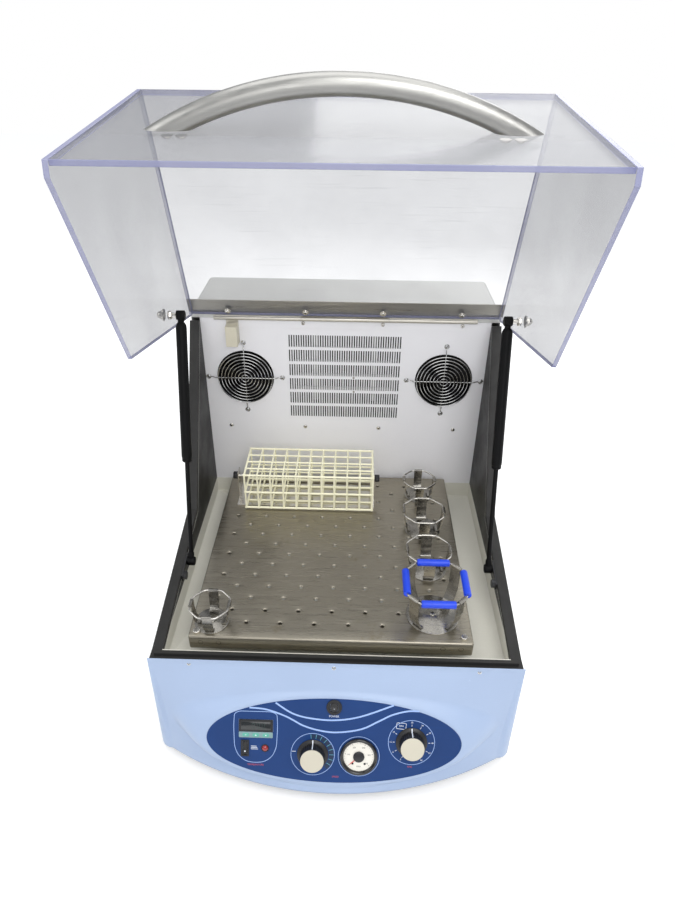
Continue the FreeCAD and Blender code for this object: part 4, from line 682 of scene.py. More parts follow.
def label():
    refined("control_label", "label_plate", NAVY, bevel=0.2)
    bm = bmesh.new()
    upper = [(-92.5, 60.7), (-66.7, 76.9), (-39.3, 84.3), (0.6, 86.6), (42, 79.4), (93.6, 59.2)]
    lower = [(-134, 69.9), (-107, 72.2), (-75.8, 82.7), (-48.2, 97), (-20.8, 104.6),
             (6.7, 106.4), (42.7, 100.2), (69.6, 86.8), (90.5, 75.6), (115, 68.3), (134, 67.6)]
    for chain in (upper, lower):
        ribbon(bm, smooth_curve([(x, POD_DOWN - s) for x, s in chain]), 2.6, *PRINT)
    shield = [(-157.8, 41), (-150, 45), (-98, 45), (-90, 41), (-89, 20), (-90.5, -14), (-97, -29),
              (-109, -38), (-124, -40), (-139, -38), (-151, -29), (-157.3, -14), (-158.8, 20)]
    ribbon(bm, rounded_2d(shield, 7), 0.9, *PRINT, closed=True)
    for center, radius in ((SPEED, 34.6), (GAUGE, 32.6), (TIME, 36.5)):
        ribbon(bm, circle(radius, center), 0.8, *PRINT, closed=True)
    piece("label_lines", bm, "cabinet", LINE)

    bm = bmesh.new()
    red, teal, dark = 1, 2, 4
    words(bm, "POWER", 4.6, (0.0, 40.6), *LETTERS)
    words(bm, "TEMPERATURE", 4.0, (-123.5, -43.5), *LETTERS, red)
    words(bm, "SPEED", 4.0, (4.0, -59.5), *LETTERS, red)
    words(bm, "TIME", 4.0, (TIME[0] - 2, TIME[1] - 40.5), *LETTERS, red)
    tilt = 0.08
    for number in (0, 1, 2, 3, 5, 6, 7, 8, 9, 10):
        angle = radians(240 - 30 * number)
        tick(bm, TIME, 26.6, 29.6, angle, 0.8, *PRINT)
        words(bm, str(number * 6), 3.6, polar(33.0, angle, TIME), *LETTERS, turn=tilt)
    inner, outer = 26.0, 33.2
    for first in range(96, -48, -16):
        slab(bm, sector(SPEED, inner, outer, first - 1.6, first - 14.4), *PRINT, dark)
        tick(bm, SPEED, inner, outer, radians(first), 0.9, *PRINT, teal)
    spot = polar(31.5, radians(122), TIME)
    box = [(spot[0] + x, spot[1] + y) for x, y in ((-8, -4.2), (7, -5.4), (8, 4.4), (-7, 5.4))]
    ribbon(bm, rounded_2d(box, 1.8), 0.7, *PRINT, closed=True)
    words(bm, "ON", 4.4, spot, *LETTERS, turn=tilt)
    ribbon(bm, [(SPEED[0] - 33, SPEED[1] + 4), (SPEED[0] - 27, SPEED[1] + 4)], 0.8, *PRINT)
    for step in range(3):
        y = -12.5 - step * 2.4
        ribbon(bm, [(-131, y), (-122 + step, y)], 0.9, *PRINT)
    piece("label_marks", bm, "cabinet", [WHITE_INK, RED_INK, TEAL_INK, LINE, SCALE_INK])


def knob(name, center, body, node):
    bm = bmesh.new()
    place = PANEL @ shift(*center, LABEL_TOP + 0.3)
    skirt = [(3.9, -8), (3.9, 0), (24.2, 0), (24.9, 0.5), (24.6, 1.2), (21.3, 3.3), (20.4, 3.6)]
    lathe(bm, skirt, 96, place)
    grip = [(19.4, 3.4), (19.4, 18.6), (19.0, 19.6), (18.2, 20)]
    lathe(bm, grip, 192, place, flutes=32, flute=0.75)
    cap = [(18.1, 19.9), (18.4, 20.3), (18.35, 20.7), (18.0, 21.1), (12.0, 21.18), (0.6, 21.2)]
    lathe(bm, cap, 96, place, 1)
    slope = place @ shift(0, 19.6, 3.9) @ Matrix.Rotation(radians(-24), 4, "X")
    block(bm, (-0.8, -0.2, -0.3), (0.8, 5.0, 0.25), slope, 2)
    block(bm, (-0.75, 18.6, 3.0), (0.75, 19.75, 19.0), place, 2)
    piece(name, bm, body, [BLACK, IVORY, WHITE_INK], smooth=30, replaces=node)


def gauge():
    place = PANEL @ shift(*GAUGE)
    bm = bmesh.new()
    bezel_ring = [(30, 0.65), (30, 3.6), (29.2, 5.0), (28.0, 5.5), (26.6, 5.4), (25.2, 4.2),
                  (24.3, 2.6), (24.1, 1.5)]
    lathe(bm, bezel_ring, 96, place, cap_end=False)
    dial = 1.5
    lathe(bm, [(24.2, 0.8), (24.2, dial), (0.5, dial)], 96, place, 1)
    zero, sweep, numbers, marks, center = 222, 264, 5, 25, (0.0, 0.0)
    black = (dial, dial + 0.08, place, 2)
    for count in range(numbers + 1):
        angle = radians(zero - sweep / numbers * count)
        tick(bm, center, 20.6, 22.8, angle, 0.6, *black)
        if count:
            words(bm, str(100 * count), 3.4, polar(16.6, angle), dial + 0.05, place, 2)
    for count in range(marks + 1):
        tick(bm, center, 21.8, 22.8, radians(zero - sweep * count / marks), 0.3, *black)
    words(bm, "RPM", 3.6, (0, -16.5), dial + 0.05, place, 2)
    for side in (-1, 1):
        lathe(bm, [(1.7, dial), (1.7, 2.0), (1.3, 2.3)], 20, place @ shift(side * 9.6, -11.6))
    lathe(bm, [(1.4, dial), (1.4, 3.3)], 16, place)
    piece("gauge_dial", bm, "cabinet", [GLOSS_BLACK, DIAL, BLACK], replaces="speed_gauge")
    bm = bmesh.new()
    lathe(bm, [(8.7, 2.0), (8.9, 2.4), (8.8, 3.2), (8.2, 3.55), (0.5, 3.6)], 48, place)
    arm = place @ Matrix.Rotation(radians(zero), 4, "Z")
    slab(bm, [(7.5, -0.75), (19.6, -0.3), (19.6, 0.3), (7.5, 0.75)], 2.0, 2.6, arm, 1)
    piece("gauge_pointer", bm, "needle", [BLACK, NEEDLE], replaces="gauge_needle")


def display():
    bm = bmesh.new()
    place = PANEL @ shift(*DISPLAY)
    rounded_plate(bm, 54, 20, 1.5, -2, 1.0, place)
    rounded_plate(bm, 47, 13.5, 1.0, 0.8, 1.25, place, 1, 0.1)
    digit_zero = ((-1.6, 3.6, 1.6, 4.2), (1.7, 0.4, 2.3, 3.8), (1.7, -3.8, 2.3, -0.4),
                  (-1.6, -4.2, 1.6, -3.6), (-2.3, -3.8, -1.7, -0.4), (-2.3, 0.4, -1.7, 3.8))
    for position in (-4, 4, 12):
        for x0, y0, x1, y1 in digit_zero:
            block(bm, (position + x0, y0, 1.2), (position + x1, y1, 1.28), place, 2)
    rounded_plate(bm, 54, 9.5, 1.5, 0.55, 1.1, PANEL @ shift(*KEYS), 3)
    piece("display_panel", bm, "cabinet", [BLACK, WINDOW, DIGIT, KEY_STRIP])
    dash = [(-1.3, -0.4), (1.3, -0.4), (1.3, 0.4), (-1.3, 0.4)]
    arrow = [(-1.6, -0.9), (1.6, -0.9), (0, 1.3)]
    for step, side, mark in ((-1, "left", dash), (0, "middle", arrow), (1, "right", arrow)):
        bm = bmesh.new()
        spot = PANEL @ shift(KEYS[0] + step * 16, KEYS[1])
        rounded_plate(bm, 10.8, 5.8, 2.6, -3, 1.75, spot, edge=0.5)
        slab(bm, mark, 1.7, 1.8, spot, 1)
        node = "set_key_" + side
        piece(node + "_cap", bm, "key_" + side[0], [KEY, WHITE_INK], replaces=node)
    spot = PANEL @ shift(*RED_LAMP)
    bm = bmesh.new()
    dome = [(4.7 * cos(angle), 1.5 + 2.4 * sin(angle)) for angle in quarter(5, 0.92)]
    lathe(bm, [(4.9, -6), (4.9, 1.3)] + dome, 40, spot)
    piece("lamp_lens", bm, "cabinet", LAMP, replaces="indicator_lamp")
    bm = bmesh.new()
    lathe(bm, [(6.4, 0.6), (6.4, 1.1), (5.9, 1.6), (5.2, 1.6), (5.1, 0.6)], 48, spot, 0, False,
          False)
    piece("lamp_bezel", bm, "cabinet", BLACK)


def rockers():
    refined("display_module", "switch_housings", BLACK, bevel=0.35, segments=3)
    refined("power_rocker", "power_rocker_cap", BLACK, bevel=0.5, segments=3)
    refined("heater_rocker", "heater_rocker_cap", BLACK, bevel=0.5, segments=3)
    bm = bmesh.new()
    ribbon(bm, circle(1.4, (0, -4.0), 24), 0.5, 1.2, 1.5, PANEL @ shift(0, 56), closed=True)
    piece("power_rocker_mark", bm, "power_switch", WHITE_INK)
    bm = bmesh.new()
    lathe(bm, [(1.3, 1.0), (1.3, 1.75), (1.0, 1.85)], 20, PANEL @ shift(-140.5, -21.2))
    piece("heater_rocker_mark", bm, "heater_switch", WHITE_INK)


# ---------------- lid
PIVOT = vec(0, 198.3, 589.7)
OPEN = (Matrix.Translation(PIVOT) @ Matrix.Rotation(radians(-72.5), 4, "X")
        @ Matrix.Translation(-PIVOT))
CREST, NOSE, FOOT = vec(0, 187.0, 590.4), vec(0, -219.7, 570.2), vec(0, -292.4, 223.2)
TOP_ALONG = (NOSE - CREST).normalized()
TOP_OUT = vec(0, TOP_ALONG.z, -TOP_ALONG.y)
FRONT_ALONG = (NOSE - FOOT).normalized()
FRONT_OUT = vec(0, -FRONT_ALONG.z, FRONT_ALONG.y)
SHEET = 6.35
HANDLE_SEAT = FOOT + FRONT_ALONG * 128.0
SPRING_LOW, SPRING_HIGH = vec(267.5, -98.1, 240.3), vec(267.5, 34.5, 656.7)


def lid_sheets():
    def face_or_edge(face):
        return 0 if face.calc_area() > 0.02 else 1
    for part in ("top", "front", "side_left", "side_right"):
        made = refined("lid_" + part, "lid_" + part + "_sheet", [ACRYLIC, ACRYLIC_EDGE],
                       bevel=0.7, choose=face_or_edge)
        made.modifiers["edge"].material = 1


def handle():
    """A tube on an arc, cut flat where it meets the front sheet."""
    bow, radius, rise, width = 441.0, 12.55, 47.6, 25.4
    steps = 96
    center = HANDLE_SEAT - FRONT_OUT * (bow - rise)
    reach = acos((bow - rise - width) / bow)
    loops = []
    for step in range(steps + 1):
        angle = -reach + 2 * reach * step / steps
        radial = FRONT_OUT * cos(angle) + X_AXIS * sin(angle)
        loops.append([center + radial * (bow + radius * cos(turn))
                      + FRONT_ALONG * radius * sin(turn) for turn in angles(40)])
    bm = bmesh.new()
    rings(bm, loops)
    cut = bmesh.ops.bisect_plane(bm, geom=bm.verts[:] + bm.edges[:] + bm.faces[:],
                                 plane_co=HANDLE_SEAT, plane_no=-FRONT_OUT, clear_outer=True)
    edges = [e for e in cut["geom_cut"] if isinstance(e, bmesh.types.BMEdge)]
    bmesh.ops.edgeloop_fill(bm, edges=edges)
    piece("handle_tube", bm, "lid", ALUMINIUM, OPEN, smooth=45, bevel=0.8, replaces="lid_handle")


def lid_fittings():
    turned = OPEN.to_3x3()
    bm = bmesh.new()
    for x in (184.0, 201.0):
        for side in (-1, 1):
            at = OPEN @ (HANDLE_SEAT - FRONT_OUT * SHEET + vec(side * x, 0, 0))
            screw(bm, at, turned @ -FRONT_OUT, radius=4.8, height=3.0, washer=7.0)
    for side in (-1, 1):
        place = frame_at(vec(side * 295.0, SPRING_HIGH.y, SPRING_HIGH.z), vec(side, 0, 0))
        lathe(bm, [(9.8, 0), (9.8, 1.6), (9.4, 2.0), (6.0, 2.0)], 48, place)
        lathe(bm, [(7.2, 2.0), (7.4, 2.4), (7.4, 5.6), (6.4, 6.2)], 6, place)
        dome = [(6.0 * cos(angle), 6.2 + 5.6 * sin(angle)) for angle in quarter(6, 0.94)]
        lathe(bm, [(6.1, 6.0)] + dome, 32, place)
    piece("lid_screws", bm, "lid", SCREW_HEAD_AND_SHADE, replaces="lid_fasteners")
    refined("lid_hinge_strip", "hinge_strip", STEEL, bevel=0.3)
    bm = bmesh.new()
    for x in (-220.0, -74.0, 71.0, 217.5):
        at = CREST + TOP_ALONG * 9.0 + vec(x, 0, 0)
        screw(bm, OPEN @ (at - TOP_OUT * SHEET), turned @ -TOP_OUT, radius=4.2, height=2.6,
              washer=6.0)
        place = frame_at(OPEN @ (at + TOP_OUT * 1.5), turned @ TOP_OUT)
        lathe(bm, [(4.6, 0), (4.6, 3.0), (4.0, 3.4)], 6, place)
    piece("strip_screws", bm, "lid", SCREW_HEAD_AND_SHADE)


# ---------------- gas springs
def springs():
    along = (SPRING_HIGH - SPRING_LOW).normalized()
    half_eye = 7
    for sign, side in ((1, "right"), (-1, "left")):
        low = vec(sign * SPRING_LOW.x, SPRING_LOW.y, SPRING_LOW.z)
        high = vec(sign * SPRING_HIGH.x, SPRING_HIGH.y, SPRING_HIGH.z)
        place = frame_at(low, vec(0, along.y, along.z), X_AXIS)
        bm = bmesh.new()
        lathe(bm, [(3.9, 5), (3.9, 214), (3.4, 215)], 32, place)
        lathe(bm, [(5.4, 6), (5.4, 16), (4.6, 18), (4.0, 18)], 24, place, 1)
        eye = [(4.3, 0.4), (7.2, 0.2), (8.0, 1.4), (8.0, 12.6), (7.2, 13.8), (4.3, 13.8)]
        lathe(bm, eye, 40, frame_at(low - X_AXIS * half_eye, X_AXIS), 1, False, False)
        piece("spring_rod_" + side + "_fine", bm, "spring_rod_" + side[0],
              [SPRING_BLACK, SPRING_BLACK], replaces="spring_rod_" + side)
        bm = bmesh.new()
        a, b = 187.0, (SPRING_HIGH - SPRING_LOW).length - 11.0
        body = [(4.4, a + 8), (4.5, a + 0.4), (6.6, a), (8.2, a + 1.6), (8.4, a + 5.2),
                (8.0, a + 6.4), (8.9, a + 8.4), (9.0, a + 12), (9.0, b - 10), (8.4, b - 5),
                (6.2, b - 1), (4.6, b), (4.4, b + 4)]
        lathe(bm, body, 48, place, cap_start=False)
        lathe(bm, [(5.2, b), (5.2, b + 5), (4.2, b + 6)], 24, place, 1)
        eye = [(6.6, 0), (7.6, 0.4), (8.0, 1.4), (8.0, 12.6), (7.6, 13.6), (6.6, 14)]
        lathe(bm, eye, 40, frame_at(high - X_AXIS * half_eye, X_AXIS), 1)
        stud = frame_at(vec(sign * 288.3, high.y, high.z), vec(-sign, 0, 0))
        lathe(bm, [(6.9, 0), (6.9, 5.4), (6.4, 6.0)], 6, stud, 2)
        lathe(bm, [(3.9, 5), (3.9, 20)], 24, stud, 2)
        piece("spring_tube_" + side + "_fine", bm, "spring_tube_" + side[0],
              [SPRING_BLACK, SPRING_BLACK, BRIGHT], replaces="spring_tube_" + side)
    refined("spring_brackets", "spring_mounts", BLACK, bevel=0.6)


# ---------------- chamber
FAN_X, FAN_Z = 198.0, 462.5
WALL_Y = 203.0


def fan_blades(side, body, node):
    """A hub and five twisted blades, kept between the faces of the fan's frame."""
    front, depth, half_blade = 209.5, 24.0, 0.4
    x = side * FAN_X
    bm = bmesh.new()
    hub = frame_at(vec(x, front + depth, FAN_Z), -Y_AXIS)
    lathe(bm, [(21.8, 0.2), (22, 2), (22, 21.5), (20.5, 23.6), (4, 24.0)], 56, hub)
    spans, chords = 8, 16
    for turn in angles(5):
        loops = []
        for step in range(spans + 1):
            share = step / spans
            radius = 21.0 + 31.6 * share
            pitch = radians(46 - 16 * share)
            width = 15.0 + 3.4 * share
            section = []
            for k in range(chords + 1):
                u = -1 + 2 * k / chords
                across = u * width
                y = 12.0 + across * sin(pitch) * 0.92 + 2.0 * (1 - u * u)
                angle = turn + 0.16 * share + across * cos(pitch) / radius
                section.append((angle, min(23.6, max(0.4, y))))
            loop = []
            for thick, row in ((half_blade, section), (-half_blade, section[::-1])):
                for angle, y in row:
                    blade_x, blade_z = polar(radius, angle, (x, FAN_Z))
                    y += front + (thick if 0.8 < y < 23.0 else 0)
                    loop.append(vec(blade_x, y, blade_z))
            loops.append(loop)
        rings(bm, loops)
    piece(node + "_blades", bm, body, SPRING_BLACK, smooth=40, replaces=node)


def fan_guards():
    """Wire rings on four arms, each arm screwed to the wall by an eye."""
    plane, foot_y, eye_y, eye_radius, wire = WALL_Y - 7.0, 201.6, 202.0, 4.2, 1.0
    for side, name in ((-1, "fan_guard_left"), (1, "fan_guard_right")):
        bm = bmesh.new()
        x = side * FAN_X
        for ring in range(8):
            radius = 7.5 + 46.5 * ring / 7
            tube(bm, [vec(px, plane, pz) for px, pz in circle(radius, (x, FAN_Z))], 0.95, 8,
                 closed=True)
        for c, s in ((1, 0), (0, 1), (-1, 0), (0, -1)):
            out, across = vec(c, 0, s), vec(-s, 0, c)
            arm, foot = vec(x, plane + 1.7, FAN_Z), vec(x, foot_y, FAN_Z)
            chain = [arm, arm + out * 60, foot + out * 66, foot + out * 70.5]
            tube(bm, rounded_chain(chain, 5), wire, 8)
            eye = vec(x, eye_y, FAN_Z) + out * 74
            tube(bm, [eye + out * eye_radius * cos(angle)
                      + across * eye_radius * sin(angle) for angle in angles(24)], wire, 8,
                 closed=True)
            screw(bm, eye + vec(0, 0.9, 0), -Y_AXIS, radius=3.6, height=2.4)
        # Slot 1, black, darkens the screw recesses as painted shade.
        piece(name, bm, "cabinet", [CHROME, BLACK], replaces="fan_guards" if side < 0 else None)


def rim_seal():
    """The gasket: rubber along the sides and the front, a painted ledge behind the front."""
    ledge_x, ledge_y = 278.0, -286.0
    bm = joined("rim_gasket")
    for x, y, normal in ((0, ledge_y, Y_AXIS), (-ledge_x, 0, X_AXIS), (ledge_x, 0, X_AXIS)):
        bmesh.ops.bisect_plane(bm, geom=bm.verts[:] + bm.edges[:] + bm.faces[:],
                               plane_co=(x * MM, y * MM, 0), plane_no=normal, dist=1e-6)

    def rubber_or_ledge(face):
        middle = face.calc_center_median() / MM
        return 1 if abs(middle.x) < ledge_x - 0.5 and middle.y > ledge_y + 0.1 else 0
    refined("rim_gasket", "rim_seal", [RUBBER, TUB], 1.2, 3, choose=rubber_or_ledge, bm=bm)


def chamber():
    knuckle_z, bracket_y = 585.4, 199.9
    refined("fan_frames", "fan_housings", BLACK, bevel=0.8)
    fan_guards()
    fan_blades(-1, "fan_l", "fan_rotor_left")
    fan_blades(1, "fan_r", "fan_rotor_right")
    paint("rear_wall", WALL)
    refined("chamber_tub", "tub_shell", TUB, bevel=0.6)
    refined("side_liners", "liner_panels", LINER, bevel=0.3)
    rim_seal()
    bm = bmesh.new()
    for x in (-235.0, -80.0, 73.0, 228.0):
        screw(bm, vec(x, WALL_Y, 350.0), -Y_AXIS, radius=4.0, height=2.3)
    for x in (-80.2, 72.1, 223.5):
        screw(bm, vec(x, 201.5, 579.5), -Y_AXIS, radius=3.8, height=2.3)
    for x, z in ((18.6, 465.2), (19.4, 433.8)):
        screw(bm, vec(x, WALL_Y, z), -Y_AXIS, radius=2.2, height=1.2)
    for x in (-97.0, 97.0):
        screw(bm, vec(x, -277.0, 200.0), Y_AXIS, radius=3.8, height=2.0)
    piece("chamber_screws", bm, "cabinet", SCREW_HEAD_AND_SHADE, replaces="cabinet_screws")

    def knuckle_or_leaf(face):
        return 1 if face.calc_center_median().z / MM < knuckle_z else 0
    refined("hinge_leaf", "hinge_plate", [STEEL, WALL], bevel=0.3, choose=knuckle_or_leaf)
    # A dark plate behind the rear vents: an inner baffle, its dark colour painted shade of the
    # housing's inside.
    bm = bmesh.new()
    block(bm, (-272.0, 268.0, 216.0), (272.0, 270.0, 602.0))
    piece("baffle_shade_plate", bm, "cabinet", BAFFLE_SHADE, bevel=0.4)

    def bracket_or_body(face):
        return 1 if face.calc_center_median().y / MM < bracket_y else 0
    refined("lid_switch", "switch_unit", [STEEL, NYLON], bevel=0.8, segments=3,
            choose=bracket_or_body)


# ---------------- platform and what it carries
ORBIT, ORBIT_TURN, ORBIT_CENTER = 9.5, radians(199), (0.0, -37.0)
TRAY = vec(*polar(ORBIT, ORBIT_TURN, ORBIT_CENTER), 0)
PITCH = 55.8
PLATE_TOP, PLATE, PLATE_HALF = 235.0, 2.5, 228.6


def platform():
    """The plate cell by cell, each hole with a shallow pressed rim, and its folded flange."""
    bm = bmesh.new()
    under = PLATE_TOP - PLATE
    cell, count, sides = PITCH / 2, 15, 24
    quadrant, first = sides // 4, sides * 5 // 8
    start = -cell * count / 2
    run = range(count + 1)
    grid = {(level, i, j): bm.verts.new((start + i * cell, start + j * cell, level))
            for level in (PLATE_TOP, under) for i in run for j in run}
    rim = [(5.6, 0), (4.4, 0.18), (3.5, 0.6), (2.9, 1.1), (2.75, 1.5), (2.75, PLATE)]
    for i in range(count):
        for j in range(count):
            upper, lower = [[grid[level, i + di, j + dj]
                             for di, dj in ((0, 0), (1, 0), (1, 1), (0, 1))]
                            for level in (PLATE_TOP, under)]
            if (i + j) % 2:
                bm.faces.new(upper)
                bm.faces.new(lower[::-1])
                continue
            center = (start + (i + 0.5) * cell, start + (j + 0.5) * cell)
            hole = rings(bm, [[(*p, PLATE_TOP - drop) for p in circle(radius, center, sides)]
                              for radius, drop in rim], True, False, False)
            for corners, loop in ((upper, hole[0]), (lower, hole[-1])):
                for side in range(4):
                    arc = [loop[(first + side * quadrant + k) % sides] for k in range(quadrant + 1)]
                    bm.faces.new([corners[side], corners[(side + 1) % 4]] + arc[::-1])
    fold = ((2.6, 3.0, 0), (1.2, 3.4, 0.35), (0.35, 3.8, 1.2), (0, 4.0, 2.6), (0, 4.0, 26),
            (2.5, 1.5, 26), (2.5, 1.5, PLATE))
    made = rings(bm, [[(*p, PLATE_TOP - drop)
                       for p in round_rect(PLATE_HALF - inset, PLATE_HALF - inset, radius)]
                      for inset, radius, drop in fold], True, False, False)
    for level, ring in ((PLATE_TOP, made[0]), (under, made[-1])):
        borders = ([grid[level, i, count] for i in run], [grid[level, 0, j] for j in run],
                   [grid[level, i, 0] for i in run[::-1]],
                   [grid[level, count, j] for j in run[::-1]])
        for side, border in enumerate(borders):
            arc = [ring[(side * CORNER + CORNER // 2 + k) % len(ring)] for k in range(CORNER + 1)]
            bm.faces.new(arc + border)
    piece("platform_plate", bm, "tray", PLATFORM, Matrix.Translation(TRAY), smooth=40,
          replaces="platform")
    bm = bmesh.new()
    for x in (-209.0, -180.0, 180.0, 209.0):
        place = frame_at(TRAY + vec(x, -PLATE_HALF, 222.0), -Y_AXIS)
        lathe(bm, [(4.2, -0.5), (4.2, 0.0), (3.6, 0.02), (3.3, -0.4)], 32, place)
    piece("platform_front_eyes", bm, "tray", BLACK)
    bm = bmesh.new()
    for x, y in ((-216.0, -219.0), (214.0, -217.0)):
        place = Matrix.Translation(TRAY + vec(x, y, PLATE_TOP))
        lathe(bm, [(5.6, 0.0), (5.8, 0.4), (5.8, 4.4), (5.0, 5.2), (0.8, 5.3)], 96, place,
              flutes=16, flute=0.5)
    piece("platform_corner_screws", bm, "tray", BRIGHT)


# Flask clamps: ring half width, ring side half length, height, foot radius, turn in degrees.
SMALL = (31.0, 14.0, 42.0, 25.0, 0.0)
MIDDLE = (38.0, 17.0, 48.0, 31.0, 0.0)
LARGE = (47.5, 28.0, 75.0, 41.0, 45.0)
SITES = ((SMALL, -3.5, -3.5), (SMALL, 3.0, 3.0), (MIDDLE, 3.0, 1.0), (MIDDLE, 3.0, -1.0),
         (LARGE, 3.0, -3.0))
RING_DROP = 3.2


def strip_leg(bm, path, width, place):
    """A bent strip along (outward, up) points, narrower at its tip."""
    thick = 1.3
    pts = [vec(r, 0, z) for r, z in path]
    tip = dict(enumerate((0.97, 0.9, 0.8), len(pts) - 3))
    loops = []
    for i, point in enumerate(pts):
        along = (pts[min(len(pts) - 1, i + 1)] - pts[max(0, i - 1)]).normalized()
        inner = point - vec(along.z, 0, -along.x) * thick
        half = vec(0, width / 2 * tip.get(i, 1.0), 0)
        loops.append([place @ p for p in (point + half, point - half, inner - half,
                                          inner + half)])
    rings(bm, loops)


def clamps():
    frames, wires = bmesh.new(), bmesh.new()
    for (ring, side, height, foot, turn), column, row in SITES:
        at = TRAY + vec(column * PITCH, row * PITCH, PLATE_TOP)
        place = Matrix.Translation(at)
        lathe(frames, [(foot + 2.4, 0.02), (foot + 3.0, 0.5), (foot + 3.0, 1.1), (foot + 2.4, 1.5),
                       (foot * 0.5, 1.5), (foot * 0.46, 2.1), (1.0, 2.1)], 64, place)
        screw(frames, at + vec(0, 0, 2.0), Z_AXIS, radius=6.0, height=2.4)
        reach = ((ring + side) / sqrt(2) if turn else ring) - 1.6
        bulge = height * 0.45
        path = smooth_curve([(foot - 7, 2.3), (foot - 2.5, 2.9), (foot, 5.0),
                             (foot + (reach - foot) * 0.55, bulge * 0.55),
                             (reach - 1.2, bulge * 0.98), (reach - 0.4, bulge * 1.3),
                             (reach - 0.2, height - 6), (reach - 0.2, height - RING_DROP)], 4)
        hook = (reach + 1.6, height - RING_DROP)
        path += [polar(2.0, pi - pi * step / 6 * 1.15, hook) for step in range(1, 7)]
        for spin in range(4):
            strip_leg(frames, path, 19.0 if height > 45 else 16.0,
                      place @ Matrix.Rotation(radians(turn + 90 * spin), 4, "Z"))
        corners = [(ring, -side), (ring, side), (side, ring), (-side, ring), (-ring, side),
                   (-ring, -side), (-side, -ring), (side, -ring)]
        loop = [at + vec(x, y, height - RING_DROP) for x, y in corners]
        tube(wires, rounded_chain(loop, 5, 4, True), 1.45, closed=True)
    # Slot 1, black, darkens the clamp screws' cross recesses as painted shade.
    piece("clamp_legs", frames, "tray", [CLAMP_STEEL, BLACK], smooth=35, replaces="flask_clamps")
    piece("clamp_wires", wires, "tray", BRIGHT, replaces="clamp_springs")
    bm = bmesh.new()
    (ring, _, height, _, _), column, row = SITES[-1]
    at = TRAY + vec(column * PITCH, row * PITCH, PLATE_TOP)
    sleeve = [(1.9, 1.0), (4.6, 0.0), (5.7, 0.5), (6.0, 1.6), (6.05, 14), (5.95, 27), (6.05, 40),
              (6.0, 52.4), (5.7, 53.5), (4.6, 54.0), (1.9, 53.0)]
    for angle in angles(4):
        out, along = vec(*polar(1, angle), 0), vec(*polar(1, angle + pi / 2), 0)
        middle = at + out * ring + vec(0, 0, height - RING_DROP)
        lathe(bm, sleeve, 32, frame_at(middle - along * 27, along))
    piece("blue_sleeves", bm, "tray", SLEEVE, smooth=50, replaces="clamp_sleeves")


RACK_LOW, RACK_HIGH = vec(-193.6, 64.0, 237.0), vec(63.4, 166.0, 319.0)


def in_rack(axis, share):
    """A place between the middles of the rack's outer wires."""
    inset = 2.3
    low, high = RACK_LOW[axis] + inset, RACK_HIGH[axis] - inset
    return low + (high - low) * share


def tube_grid():
    """Three levels of coated wire on upright wires, welded where they cross."""
    bm = bmesh.new()
    columns, rows, sink, upright = 10, 4, 0.25, 1.9
    end = vec(0.2, 0.2, 0.2)
    low, high = RACK_LOW + end, RACK_HIGH - end
    for share, border, inner in ((0.0, 2.3, 2.1), (0.48, 2.0, 1.8), (1.0, 2.2, 1.8)):
        z = in_rack(2, share)
        for row in range(rows + 1):
            edge = row in (0, rows)
            y, level = in_rack(1, row / rows), z if edge else z - sink
            tube(bm, [(low.x, y, level), (high.x, y, level)], border if edge else inner)
        for column in range(columns + 1):
            x = in_rack(0, column / columns)
            tube(bm, [(x, low.y, z), (x, high.y, z)], border if column in (0, columns) else inner)
    for column in range(columns + 1):
        x = in_rack(0, column / columns)
        for y in (in_rack(1, 0), in_rack(1, 1)):
            tube(bm, [(x, y, low.z), (x, y, high.z)], upright)
    piece("tube_grid", bm, "tray", RACK, smooth=50, replaces="tube_rack")


def rack():
    tube_grid()
    refined("rack_holder", "rack_cradle", BRIGHT)
    middle_y, pivot_z, head = 115.0, 283.0, 10
    for sign, side in ((-1, "left"), (1, "right")):
        node = "rack_thumb_" + side
        low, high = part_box(node)
        outer, tip = (low.x, high.x) if sign < 0 else (high.x, low.x)
        base = outer / MM - sign * head
        stem = abs(tip / MM - base)
        place = frame_at(vec(base, middle_y, pivot_z), X_AXIS * sign)
        bm = bmesh.new()
        lathe(bm, [(7.0, 0), (7.5, 0.6), (7.5, 8.6), (6.6, 9.8), (1, 10.0)], 96, place, flutes=16,
              flute=0.7)
        lathe(bm, [(2.4, -stem), (2.5, -stem + 0.4), (2.5, 0.2)], 24, place, 1)
        piece(node + "_knob", bm, "thumb_" + side[0], [BLACK, BRIGHT], replaces=node)


# ---------------- cabinet outside and drive
def outside():
    refined("rear_housing", "housing_shell", CABINET, bevel=0.5, smooth=32)
    refined("casing_left", "casing_left_panel", CABINET, bevel=0.6)
    refined("casing_right", "casing_right_panel", CABINET, bevel=0.6)
    refined("chassis_base", "base_pan", ZINC, bevel=0.5)
    refined("power_inlet", "inlet_socket", BLACK, bevel=0.6, segments=3)
    bm = bmesh.new()
    for x in (-250.0, 250.0):
        for y in (-260.0, 349.0):
            lathe(bm, [(13.0, 0.0), (14.6, 0.8), (15.2, 3.0), (16.0, 18), (16.0, 23.9)], 48,
                  shift(x, y))
    piece("rubber_feet", bm, "cabinet", RUBBER, replaces="feet")
    bm = bmesh.new()
    for x in (-280.0, 280.0):
        for z in (60.0, 200.0, 400.0, 560.0):
            screw(bm, vec(x, 394.0, z), Y_AXIS, radius=3.8, height=2.0)
    piece("housing_screws", bm, "cabinet", SCREW_HEAD_AND_SHADE)


def drive():
    for node, material in (("drive_plate", ZINC), ("drive_bearings", ZINC), ("main_crank", BRIGHT),
                           ("idler_crank_left", BRIGHT), ("idler_crank_right", BRIGHT),
                           ("drive_motor", BLACK), ("motor_pulley", BRIGHT), ("drive_belt", BELT),
                           ("platform_carriage", ZINC), ("heater_element", ZINC)):
        refined(node, node + "_part", material)


# ---------------- stage, in metres
def placed(name, data, matrix=HERE):
    made = bpy.data.objects.new(name, data)
    bpy.context.scene.collection.objects.link(made)
    made.matrix_world = matrix
    return made


